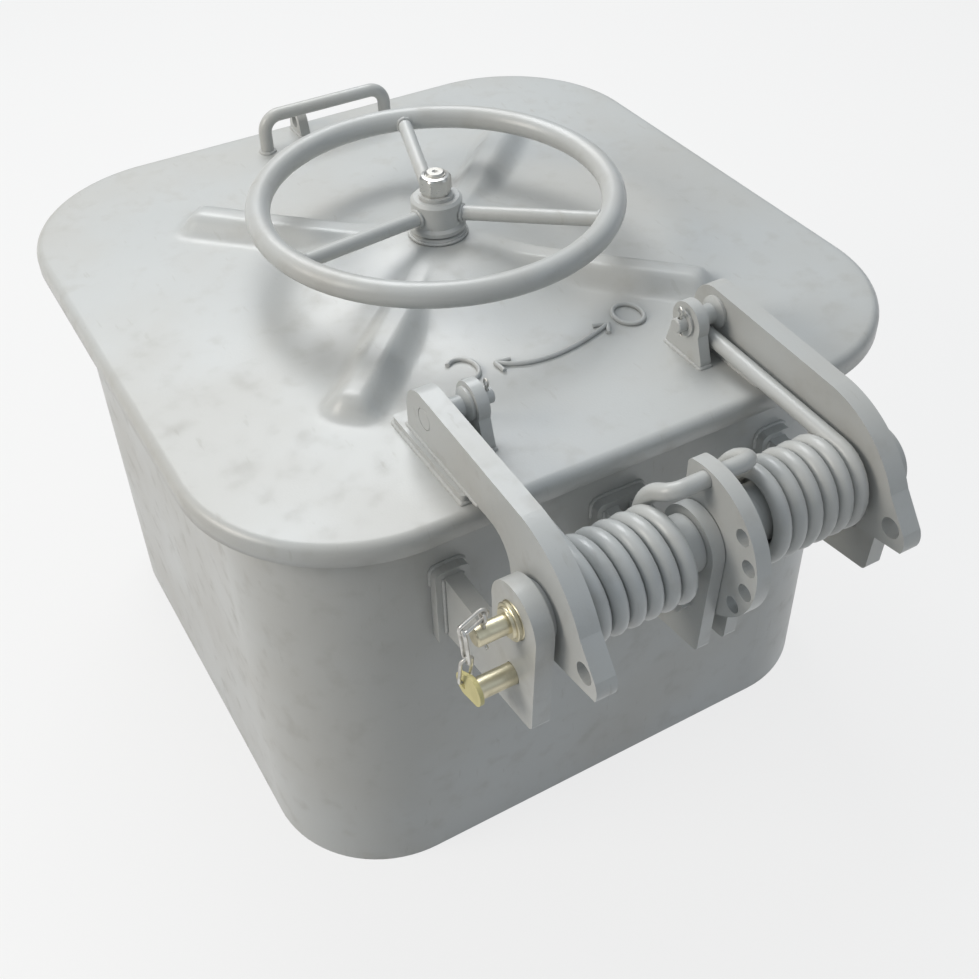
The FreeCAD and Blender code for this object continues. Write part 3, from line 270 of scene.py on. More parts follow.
@dataclass(frozen=True)
class PlatedSteel:
    """Turned or drawn steel, bare or plated, with fine marks along one axis."""

    name: str
    colour: Colour
    stain: Colour
    polish: float
    grain: Place
    depth: float = 0.00003

    def material(self) -> bpy.types.Material:
        """Builds the metal with its drawn lines and stains."""
        graph = Graph(self.name)
        lines = graph.noise(1.0, 3.0, graph.stretch(self.grain))
        stain = graph.noise(55.0, 5.0).ramp(0.46, 0.7)
        base = graph.mix(stain * 0.6, self.colour, self.stain)
        base = graph.mix(lines * 0.16, base, tuple(0.62 * c for c in self.colour))
        rough = lines * 0.16 + stain * 0.2 + self.polish
        metal = 1 - stain * 0.25
        normal = graph.bump(lines, self.depth)
        graph.dress(Base_Color=base, Roughness=rough, Metallic=metal, Normal=normal)
        return graph.material


@dataclass(frozen=True)
class MouldedRubber:
    """Dark sponge rubber with a skin."""

    name: str
    colour: Colour

    def material(self) -> bpy.types.Material:
        """Builds the rubber with its bloom and pores."""
        graph = Graph(self.name)
        bloom = graph.noise(26.0, 5.0).ramp(0.4, 0.75)
        pores = graph.noise(1500.0, 1.0)
        base = graph.mix(bloom * 0.5, self.colour, tuple(2.2 * c for c in self.colour))
        graph.dress(Base_Color=base, Roughness=0.62 + bloom * 0.15,
                    Normal=graph.bump(pores, 0.00005))
        return graph.material


FINISHES = {
    Slot.PAINT: SprayedPaint("sprayed_grey", (0.455, 0.465, 0.455), (0.40, 0.385, 0.35)),
    Slot.ZINC: PlatedSteel("zinc_plate", (0.66, 0.61, 0.45), (0.42, 0.38, 0.27), 0.3,
                           (900.0, 60.0, 60.0)),
    Slot.BRIGHT: PlatedSteel("bright_wire", (0.68, 0.67, 0.64), (0.4, 0.38, 0.34), 0.22,
                             (300.0, 300.0, 300.0)),
    Slot.BARE: PlatedSteel("bare_steel", (0.5, 0.49, 0.46), (0.26, 0.22, 0.18), 0.34,
                           (120.0, 120.0, 700.0)),
    Slot.YELLOW: SprayedPaint("pale_yellow", (0.62, 0.56, 0.25), (0.52, 0.47, 0.24), 0.42),
    Slot.RUBBER: MouldedRubber("gasket_rubber", (0.022, 0.022, 0.024)),
}


# Mesh making


def smooth_mesh(name: str, parts: Iterable[Mesh], crease: float = 40.0) -> bpy.types.Mesh:
    """Joins parts into one mesh with smooth faces and sharp edges.

    Args:
        name: the mesh's name.
        parts: corner points and faces of each part.
        crease: the angle in degrees above which an edge stays sharp.

    Returns:
        The mesh.
    """
    mesh = bpy.data.meshes.new(name)
    build = bmesh.new()
    for points, faces in parts:
        corners = [build.verts.new(point) for point in points]
        for face in faces:
            build.faces.new([corners[index] for index in face])
    bmesh.ops.recalc_face_normals(build, faces=build.faces)
    for face in build.faces:
        face.smooth = True
    for edge in build.edges:
        if len(edge.link_faces) == 2:
            edge.smooth = edge.calc_face_angle() < math.radians(crease)
    build.to_mesh(mesh)
    build.free()
    return mesh


def sweep(path: Sequence[Vector], radius: float | Callable[[int], float], sides: int = 12,
          closed: bool = False, squash: float = 1.0) -> Mesh:
    """A round bar along a path, its section carried without twist.

    Args:
        path: the centre line.
        radius: the bar's radius, or a function of the point's number.
        sides: corners of the section.
        closed: whether the path ends where it starts.
        squash: the section's height as a share of its width.

    Returns:
        The bar's points and faces.
    """
    count = len(path)
    points: list[Vector] = []
    rim = None
    for index, centre in enumerate(path):
        before = path[index - 1] if index or closed else centre
        after = path[(index + 1) % count] if index < count - 1 or closed else centre
        along = (after - before).normalized()
        if rim is None:
            rim = along.orthogonal()
            if abs(along.z) < 0.9:
                rim = Vector((0, 0, 1))
        rim = (rim - along * rim.dot(along)).normalized()
        aside = along.cross(rim)
        size = radius(index) if callable(radius) else radius
        for corner in range(sides):
            turn = 2 * math.pi * corner / sides
            points.append(centre + rim * (math.cos(turn) * size * squash)
                          + aside * (math.sin(turn) * size))
    faces = []
    for index in range(count if closed else count - 1):
        near, far = index * sides, (index + 1) % count * sides
        for corner in range(sides):
            step = (corner + 1) % sides
            faces.append([near + corner, near + step, far + step, far + corner])
    if not closed:
        faces.append(list(range(sides)))
        faces.append([(count - 1) * sides + corner for corner in reversed(range(sides))])
    return points, faces


def lathe(profile: Sequence[tuple[float, float]], centre: Vector, axis: Vector,
          sides: int = 32, closed: bool = False, corners: int = 0) -> Mesh:
    """A turned solid.

    Args:
        profile: radius and height pairs, from axis to axis.
        centre: the point that height nought stands for.
        axis: the turning axis.
        sides: steps round the axis.
        closed: whether the profile goes round to its start, as in a ring.
        corners: flats that cut the solid down to a nut's form, its first radius across corners.

    Returns:
        The solid's points and faces.
    """
    along = axis.normalized()
    across = along.orthogonal().normalized()
    aside = along.cross(across)
    points: list[Vector] = []
    rings: list[list[int]] = []
    for radius, height in profile:
        middle = centre + along * height
        if radius < 1e-7:
            rings.append([len(points)] * sides)
            points.append(middle)
            continue
        rings.append(list(range(len(points), len(points) + sides)))
        for step in range(sides):
            turn = 2 * math.pi * step / sides
            size = radius
            if corners:
                lean = turn % (2 * math.pi / corners) - math.pi / corners
                flat = profile[0][0] * math.cos(math.pi / corners) / math.cos(lean)
                size = min(radius, flat)
            points.append(middle + across * (size * math.cos(turn))
                          + aside * (size * math.sin(turn)))
    faces = []
    pairs = list(zip(rings, rings[1:])) + ([(rings[-1], rings[0])] if closed else [])
    for low, high in pairs:
        for step in range(sides):
            after = (step + 1) % sides
            face = [low[step], low[after], high[after], high[step]]
            face = [index for k, index in enumerate(face) if index not in face[:k]]
            if len(face) > 2:
                faces.append(face)
    return points, faces


def resample(path: Sequence[Vector], pitch: float) -> list[Vector]:
    """Points along a run of straight lines at an even pitch, both ends kept."""
    lengths = [(b - a).length for a, b in zip(path, path[1:])]
    total = sum(lengths)
    count = max(2, round(total / pitch))
    found = []
    for step in range(count + 1):
        left = total * step / count
        for index, length in enumerate(lengths):
            if left <= length or index == len(lengths) - 1:
                found.append(path[index].lerp(path[index + 1], min(1.0, left / length)))
                break
            left -= length
    return found


def arc(centre: Vector, first: Vector, second: Vector, start: float, end: float,
        steps: int) -> list[Vector]:
    """Points on an arc.

    Args:
        centre: the arc's centre.
        first: the radius at nought degrees.
        second: the radius at ninety degrees.
        start: the first angle in degrees.
        end: the last angle in degrees.
        steps: how many pieces it is cut into.

    Returns:
        The points, both ends among them.
    """
    found = []
    for step in range(steps + 1):
        turn = math.radians(start + (end - start) * step / steps)
        found.append(centre + first * math.cos(turn) + second * math.sin(turn))
    return found


# The pieces


def smooth_step(value: float) -> float:
    """Nought below nought, one above one, and a smooth rise between."""
    value = min(1.0, max(0.0, value))
    return value * value * (3 - 2 * value)


@dataclass(frozen=True)
class Pressing:
    """The form pressed into the cover: a boss under the wheel and four diagonal ridges."""

    top: float = 0.509
    boss: float = 0.031
    seat: float = 0.034
    spread: float = 0.170
    ridge: float = 0.022
    crest: float = 0.009
    flank: float = 0.034
    ridge_start: float = 0.055
    ridge_end: float = 0.281
    nose: float = 0.026
    blend: float = 0.006

    def height(self, x: float, y: float) -> float:
        """The form's height over the flat plate at x and y."""
        boss = self.boss * (1 - smooth_step((math.hypot(x, y) - self.seat) / self.spread)) ** 1.3
        along = (abs(x) + abs(y)) / math.sqrt(2)
        across = abs(abs(x) - abs(y)) / math.sqrt(2)
        side = min(1.0, max(0.0, (self.flank - across) / (self.flank - self.crest)))
        side = 0.45 * side + 0.55 * smooth_step(side)
        rise = smooth_step(along / self.ridge_start)
        fall = 1 - smooth_step((along - self.ridge_end) / self.nose)
        ridge = self.ridge * side * rise * fall
        gap = boss - ridge
        return (boss + ridge + math.sqrt(gap * gap + self.blend ** 2) - self.blend) / 2


class Workshop:
    """Makes pieces, finishes them and fixes them to the model's bodies."""

    def __init__(self) -> None:
        """Builds every finish once and keeps the cover's form."""
        self.materials = {slot: finish.material() for slot, finish in FINISHES.items()}
        self.pressing = Pressing()
        self.random = random.Random(11)

    def on_cover(self, x: float, y: float, lift: float = 0.0) -> Vector:
        """The point on the cover's top at x and y, lifted along Z."""
        return Vector((x, y, self.pressing.top + self.pressing.height(x, y) + lift))

    def finish_nodes(self) -> None:
        """Gives each CAD node the finish that its record names."""
        slots = {part["node"]: Slot(part["material_slot"])
                 for part in frame["record"]["subparts"]}
        for name, node in frame["nodes"].items():
            node.data.materials.clear()
            node.data.materials.append(self.materials[slots[name]])
            log.info("finished node %s with %s", name, slots[name].value)

    def add(self, name: str, body: str | None, slot: Slot, parts: Iterable[Mesh],
            crease: float = 40.0) -> bpy.types.Object:
        """Makes one piece.

        Args:
            name: the piece's name.
            body: the body that it rides on, or None where it rides on none.
            slot: its finish.
            parts: its points and faces.
            crease: the angle above which its edges stay sharp.

        Returns:
            The new object.
        """
        piece = bpy.data.objects.new(name, smooth_mesh(name, parts, crease))
        bpy.context.scene.collection.objects.link(piece)
        piece.data.materials.append(self.materials[slot])
        if body is not None:
            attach(piece, body)
        log.info("built %s", name)
        return piece

    def bead(self, path: Sequence[Vector], radius: float, closed: bool = False) -> Mesh:
        """A weld bead with its ripples along a path."""
        if closed:
            path = [*path, path[0]]
        points = resample(path, 0.0016)
        if closed:
            points = points[:-1]
        sizes = [radius * (1 + 0.13 * math.sin(1.9 * k) + self.random.uniform(-0.06, 0.06))
                 for k in range(len(points))]
        if not closed:
            for k in (0, -1):
                sizes[k] *= 0.45
                sizes[1 if k == 0 else -2] *= 0.85
        return sweep(points, lambda index: sizes[index], 8, closed)


@dataclass
class Hinge:
    """Sizes that the hinge's pieces share."""

    y: float = -0.484
    z: float = 0.484
    shaft: float = 0.018
    shaft_end: float = 0.232
    shaft_far_end: float = 0.212

    def polar(self, x: float, radius: float, degrees: float) -> Vector:
        """A point at a radius and angle about the hinge axis."""
        turn = math.radians(degrees)
        return Vector((x, self.y + radius * math.cos(turn), self.z + radius * math.sin(turn)))


@dataclass
class Springs:
    """The pair of close-coiled torsion springs."""

    shop: Workshop
    hinge: Hinge
    wire: float = 0.008
    coil: float = 0.039
    first: float = 0.043
    last: float = 0.138
    start: float = -30.0
    turns: int = 6
    ease: float = 0.12
    tang: float = 0.064
    tang_angle: float = 88.0
    small_bend: float = 0.014
    tip: float = 0.001
    beyond: float = 0.018
    leg_y: float = 0.194
    leg_z: float = 0.0455

    def advance(self, done: float, turns: float) -> float:
        """How far along X the coil has come after that many turns, level at both ends."""
        if done < self.ease:
            run = done * done / (2 * self.ease)
        elif done > turns - self.ease:
            run = turns - self.ease - (turns - done) ** 2 / (2 * self.ease)
        else:
            run = done - self.ease / 2
        return self.first + (self.last - self.first) * run / (turns - self.ease)

    def path(self, side: int) -> list[Vector]:
        """The wire's centre line, from the tip in the sector to the end of the straight leg."""
        axis = Vector((0, self.hinge.y, self.hinge.z))
        reach = math.hypot(self.leg_y, self.leg_z)
        end = math.atan2(self.leg_z, self.leg_y) + math.acos(self.coil / reach)
        start = math.radians(self.start)
        turns = (start - end) / (2 * math.pi) + self.turns
        radial = Vector((0, math.cos(start), math.sin(start)))
        back = Vector((0, -math.sin(start), math.cos(start)))
        flat = self.hinge.polar(0, self.tang, self.tang_angle) - axis
        across, sideways = flat.dot(radial) - self.coil, flat.dot(back)
        wide = (across ** 2 + sideways ** 2 - self.small_bend ** 2) / (-2 * across)
        first = axis + radial * self.coil + Vector((side * self.first, 0, 0))
        centre = first - radial * wide
        swing = math.atan2(sideways, across + wide) - math.atan(self.small_bend / wide)
        tangent = back * math.cos(swing) - radial * math.sin(swing)
        into = Vector((-side, 0, 0))
        arc_end = centre + (radial * math.cos(swing) + back * math.sin(swing)) * wide
        corner = arc_end + into * self.small_bend
        bend = arc(corner, tangent * self.small_bend, into * -self.small_bend, 0, 90, 6)
        found = [Vector((side * self.tip, bend[0].y, bend[0].z)), *bend]
        found += arc(centre, radial * wide, back * wide, math.degrees(swing), 0, 14)[1:-1]
        count = round(turns * 30)
        for step in range(count + 1):
            done = turns * step / count
            turn = start - 2 * math.pi * done
            found.append(axis + Vector((side * self.advance(done, turns),
                                        self.coil * math.cos(turn), self.coil * math.sin(turn))))
        straight = Vector((0, math.sin(end), -math.cos(end)))
        leg = math.sqrt(reach ** 2 - self.coil ** 2) + self.beyond
        found += [found[-1] + straight * leg * 0.3, found[-1] + straight * leg]
        return found

    def build(self) -> None:
        """Makes both springs, attached to no body."""
        for side, name in ((-1, "left"), (1, "right")):
            piece = self.shop.add(f"torsion_spring_{name}", None, Slot.PAINT,
                                  [sweep(self.path(side), self.wire, 20)])
            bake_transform(piece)
            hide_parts(f"spring_{name}")


@dataclass
class Cover:
    """The pressed cover plate with its rolled edge and short skirt."""

    shop: Workshop
    half: float = 0.381
    corner: float = 0.168
    edge: float = 0.010
    skirt: float = 0.487
    plate: float = 0.008
    bore: float = 0.0146
    tuck: float = 0.006
    steps: int = 288
    top_rings: int = 74
    edge_rings: int = 7
    collar_height: float = 0.5395
    collar: Pairs = ((0.0246, -0.004), (0.0305, -0.004), (0.0305, 0.0025), (0.0292, 0.0038),
                     (0.0262, 0.0042), (0.0246, 0.005))

    def rim(self, half: float, corner: float) -> list[tuple[float, float]]:
        """Points round a square with round corners, at even angles about its centre."""
        found = []
        for step in range(self.steps):
            turn = 2 * math.pi * step / self.steps
            across, up = abs(math.cos(turn)), abs(math.sin(turn))
            reach = half / max(across, up)
            if min(across, up) * reach > half - corner:
                middle = half - corner
                along = middle * (across + up)
                reach = along + math.sqrt(along ** 2 - 2 * middle ** 2 + corner ** 2)
            found.append((reach * math.cos(turn), reach * math.sin(turn)))
        return found

    def skin(self, size: float, drop: float = 0.0, tuck: float = 0.0) -> list[Vector]:
        """A ring that follows the pressing.

        Args:
            size: half the ring's width.
            drop: how far it lies under the top face.
            tuck: how far it is drawn in at the cover's edge.

        Returns:
            The ring's points.
        """
        form = self.shop.pressing
        flat, round_flat = self.half - self.edge, self.corner - self.edge
        share = size / flat
        corner = size * (round_flat / flat * share + (1 - share))
        return [Vector((x, y, form.top - drop + form.height(x, y)))
                for x, y in self.rim(size - tuck * share, corner)]

    def rings(self) -> list[list[Vector]]:
        """Rings from the bore over the top, round the edge and back under to the bore."""
        form = self.shop.pressing
        flat, round_flat = self.half - self.edge, self.corner - self.edge
        inner = self.half - self.plate
        sizes = [self.bore + (flat - self.bore) * (k / self.top_rings) ** 0.9
                 for k in range(self.top_rings + 1)]
        levels = [self.skin(size) for size in sizes]
        for step in range(1, self.edge_rings + 1):
            turn = math.pi / 2 * step / self.edge_rings
            out, down = self.edge * math.sin(turn), self.edge * (1 - math.cos(turn))
            levels.append([Vector((x, y, form.top - down))
                           for x, y in self.rim(flat + out, round_flat + out)])
        for size, level in ((self.half, self.skirt + 0.001), (self.half - 0.001, self.skirt),
                            (inner + 0.001, self.skirt), (inner, self.skirt + 0.001),
                            (inner, form.top - self.plate - self.tuck),
                            (inner - 0.002, form.top - self.plate - 0.002)):
            corner = self.corner - (self.half - size)
            levels.append([Vector((x, y, level)) for x, y in self.rim(size, corner)])
        levels += [self.skin(size, self.plate, self.tuck) for size in reversed(sizes[::2])]
        return levels

    def build(self) -> None:
        """Makes the cover as one closed skin."""
        levels = self.rings()
        points = [point for level in levels for point in level]
        faces = []
        for index in range(len(levels)):
            near, far = index * self.steps, (index + 1) % len(levels) * self.steps
            for step in range(self.steps):
                after = (step + 1) % self.steps
                faces.append([near + step, near + after, far + after, far + step])
        piece = self.shop.add("pressed_cover", "cover", Slot.PAINT, [(points, faces)], 50)
        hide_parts("cover_pan")
        collar = lathe(self.collar, Vector((0, 0, self.collar_height)), Vector((0, 0, 1)), 64,
                       True)
        self.shop.add("gland_collar", "cover", Slot.PAINT, [collar])


@dataclass
class Shaft:
    """The hinge shaft with its turned-down ends, and the collars that close the lugs."""

    shop: Workshop
    hinge: Hinge
    end: float = 0.009
    shoulder: float = 0.1957
    chamfer: float = 0.0015
    clearance: float = 0.0001
    collar: Pairs = ((0.0168, 0), (0.0175, 0.0007), (0.0175, 0.0035), (0.0168, 0.0042),
                     (0.0142, 0.0042), (0.0138, 0.0062), (0.0131, 0.0068))

    def build(self) -> None:
        """Turns the shaft and its collars."""
        hinge = self.hinge
        left, right = -hinge.shaft_end, hinge.shaft_far_end
        bevel = self.chamfer
        profile = [(0, left), (self.end - bevel, left), (self.end, left + bevel),
                   (self.end, -self.shoulder), (hinge.shaft - bevel, -self.shoulder),
                   (hinge.shaft, bevel - self.shoulder), (hinge.shaft, self.shoulder - bevel),
                   (hinge.shaft - bevel, self.shoulder), (self.end, self.shoulder),
                   (self.end, right - bevel), (self.end - bevel, right), (0, right)]
        centre, along = Vector((0, hinge.y, hinge.z)), Vector((1, 0, 0))
        piece = self.shop.add("turned_shaft", "coaming", Slot.ZINC,
                              [lathe(profile, centre, along, 48)])
        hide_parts("hinge_shaft")
        collars = []
        steps = [(self.end, 0), *self.collar, (self.end, self.collar[-1][1])]
        for side in (-1, 1):
            start = Vector((side * (self.shoulder + self.clearance), hinge.y, hinge.z))
            collars.append(lathe(steps, start, along * side, 48, True))
        piece = self.shop.add("shaft_collars", "coaming", Slot.ZINC, collars)
        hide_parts("shaft_washers")


@dataclass
class WheelNut:
    """The bright crowned nut on the spindle, with its washer."""

    shop: Workshop
    foot: float = 0.585
    tall: float = 0.021
    corner: float = 0.0173
    face: float = 0.0152
    bore: float = 0.0101

    def build(self) -> None:
        """Makes the nut with its flats and its washer face."""
        top = self.tall
        profile = [(self.corner, 0.003), (self.corner, top - 0.006), (0.0166, top - 0.003),
                   (0.0146, top - 0.0008), (0.0118, top), (0.0106, top - 0.001),
                   (self.bore, top - 0.001), (self.bore, 0.0), (self.face, 0.0),
                   (0.0158, 0.0022)]
        nut = lathe(profile, Vector((0, 0, self.foot)), Vector((0, 0, 1)), 72, True, 6)
        piece = self.shop.add("crowned_nut", "wheel", Slot.BRIGHT, [nut], 24)
        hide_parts("wheel_nut")


@dataclass
class CoverMarks:
    """The opening and closing marks, bent from round bar and tacked to the cover."""

    shop: Workshop
    bar: float = 0.0024
    sink: float = 0.0006
    ring_half: float = 0.015
    ring_tall: float = 0.0185
    closed_at: tuple[float, float] = (0.108, -0.205)
    open_at: tuple[float, float] = (-0.082, -0.200)
    arrow: Pairs = ((-0.0495, -0.206), (0.0013, -0.2257), (0.081, -0.2086))
    barb: float = 0.016
    barb_lean: float = 38.0

    def lay(self, flat: Sequence[tuple[float, float]]) -> list[Vector]:
        """Lays a flat line on the cover's top."""
        return [self.shop.on_cover(x, y, self.bar - self.sink) for x, y in flat]

    def oval(self, centre: tuple[float, float], start: float,
             end: float) -> list[tuple[float, float]]:
        """Part of an oval about a centre, between two angles in degrees."""
        steps = 36
        found = []
        for step in range(steps + 1):
            turn = math.radians(start + (end - start) * step / steps)
            found.append((centre[0] + self.ring_half * math.cos(turn),
                          centre[1] + self.ring_tall * math.sin(turn)))
        return found

    def build(self) -> None:
        """Makes the closed ring, the open ring and the arrow between them."""
        ring = self.lay(self.oval(self.closed_at, 0, 350)[:-1])
        self.shop.add("mark_ring", "cover", Slot.PAINT, [sweep(ring, self.bar, 10, True)])
        opened = self.lay(self.oval(self.open_at, -130, 130))
        self.shop.add("mark_open_ring", "cover", Slot.PAINT, [sweep(opened, self.bar, 10)])
        first, middle, last = (Vector(point) for point in self.arrow)
        ends = (first, last)
        control = middle * 2 - (ends[0] + ends[1]) / 2
        shaft = []
        for step in range(25):
            t = step / 24
            point = ends[0] * (1 - t) ** 2 + control * (2 * t * (1 - t)) + ends[1] * t ** 2
            shaft.append((point.x, point.y))
        parts = [sweep(self.lay(shaft), self.bar, 10)]
        for end, inward in ((ends[0], control - ends[0]), (ends[1], control - ends[1])):
            for lean in (-self.barb_lean, self.barb_lean):
                along = inward.normalized()
                turn = math.radians(lean)
                barb = Vector((along.x * math.cos(turn) - along.y * math.sin(turn),
                               along.x * math.sin(turn) + along.y * math.cos(turn)))
                line = [end + barb * (self.barb * k / 4) for k in range(5)]
                parts.append(sweep(self.lay([(p.x, p.y) for p in line]), self.bar, 10))
        self.shop.add("mark_arrow", "cover", Slot.PAINT, parts)


@dataclass
class Welds:
    """The beads that join the plates."""

    shop: Workshop
    size: float = 0.0024
    wall: float = -0.3505
    pad_face: float = -0.3625
    pad_high: float = 0.432
    pad_corner: float = 0.008
    pads: Pairs = ((-0.186, 0.018), (0.0, 0.030), (0.186, 0.018))
    lug_faces: Pairs = ((-0.195, -1), (-0.177, 1), (-0.0215, -1), (-0.0085, 1),
                        (0.0085, -1), (0.0215, 1), (0.177, -1), (0.195, 1))
    top: float = 0.5095
    foot_top: float = 0.5185
    handle_ends: Pairs = ((-0.066, 0.324), (0.096, 0.324))
    handle_bar: float = 0.0085
    gland_height: float = 0.5395
    gland_radius: float = 0.031
    wheel_radius: float = 0.1875
    wheel_height: float = 0.5794
    hub_height: float = 0.563
    first_spoke: float = 73.7
    spoke_bar: float = 0.0085

    def loop(self, corners: Sequence[Place]) -> list[Vector]:
        """A run of points from plain numbers."""
        return [Vector(corner) for corner in corners]

    def rectangle(self, near: float, far: float, front: float, back: float) -> list[Vector]:
        """The corners of a rectangle on the cover's top face."""
        top = self.top
        return self.loop([(near, front, top), (far, front, top), (far, back, top),
                          (near, back, top)])

    def on_wall(self) -> list[Mesh]:
        """Beads round the doubler plates, and along the lugs' roots."""
        wall, face = self.wall, self.pad_face
        high, small = self.pad_high, self.pad_corner
        parts = []
        for middle, half in self.pads:
            left, right = middle - half, middle + half
            path = [Vector((left, wall, high - 0.022)), Vector((left, wall, high - small))]
            path += arc(Vector((left + small, wall, high - small)), Vector((small, 0, 0)),
                        Vector((0, 0, small)), 180, 90, 5)[1:]
            path += arc(Vector((right - small, wall, high - small)), Vector((small, 0, 0)),
                        Vector((0, 0, small)), 90, 0, 5)
            parts.append(self.shop.bead(path, self.size))
        for x, side in self.lug_faces:
            beside = x + side * 0.001
            path = self.loop([(beside, face, 0.353), (beside, face, 0.424)])
            parts.append(self.shop.bead(path, self.size * 0.9))
        return parts

    def on_cover(self) -> list[Mesh]:
        """Beads round the arms' feet, the lugs, the handle and the eye."""
        parts = []
        for side in (-1, 1):
            foot = self.rectangle(side * 0.144, side * 0.176, -0.367, -0.235)
            parts.append(self.shop.bead(foot, self.size, True))
            for x in (side * 0.150, side * 0.170):
                path = self.loop([(x, -0.385, self.foot_top), (x, -0.252, self.foot_top)])
                parts.append(self.shop.bead(path, self.size * 0.8))
            lug = self.rectangle(side * 0.114, side * 0.126, -0.318, -0.262)
            parts.append(self.shop.bead(lug, self.size, True))
        bar = self.handle_bar
        for x, y in self.handle_ends:
            ring = arc(Vector((x, y, self.top)), Vector((bar, 0, 0)), Vector((0, bar, 0)),
                       0, 350, 35)
            parts.append(self.shop.bead(ring, self.size, True))
        eye = self.rectangle(-0.016, -0.004, 0.333, 0.369)
        parts.append(self.shop.bead(eye, self.size * 0.8, True))
        reach = self.gland_radius
        ring = arc(Vector((0, 0, self.gland_height)), Vector((reach, 0, 0)),
                   Vector((0, reach, 0)), 0, 354, 60)
        parts.append(self.shop.bead(ring, 0.0018, True))
        return parts

    def on_wheel(self) -> list[Mesh]:
        """Beads where the spokes meet the hub and the rim."""
        parts = []
        for number in range(3):
            turn = math.radians(self.first_spoke + 120 * number)
            away = Vector((math.cos(turn), math.sin(turn), 0.0))
            aside = Vector((-math.sin(turn), math.cos(turn), 0.0))
            rise = (self.wheel_height - self.hub_height) / self.wheel_radius
            for reach in (0.028, 0.1755):
                height = self.hub_height + rise * (reach - 0.01)
                ring = arc(away * reach + Vector((0, 0, height)), aside * self.spoke_bar,
                           Vector((0, 0, self.spoke_bar)), 0, 350, 30)
                parts.append(self.shop.bead(ring, 0.0019, True))
        return parts

    def build(self) -> None:
        """Makes the beads of each body."""
        self.shop.add("weld_beads_coaming", "coaming", Slot.PAINT, self.on_wall(), 180)
        self.shop.add("weld_beads_cover", "cover", Slot.PAINT, self.on_cover(), 180)
        self.shop.add("weld_beads_wheel", "wheel", Slot.PAINT, self.on_wheel(), 180)


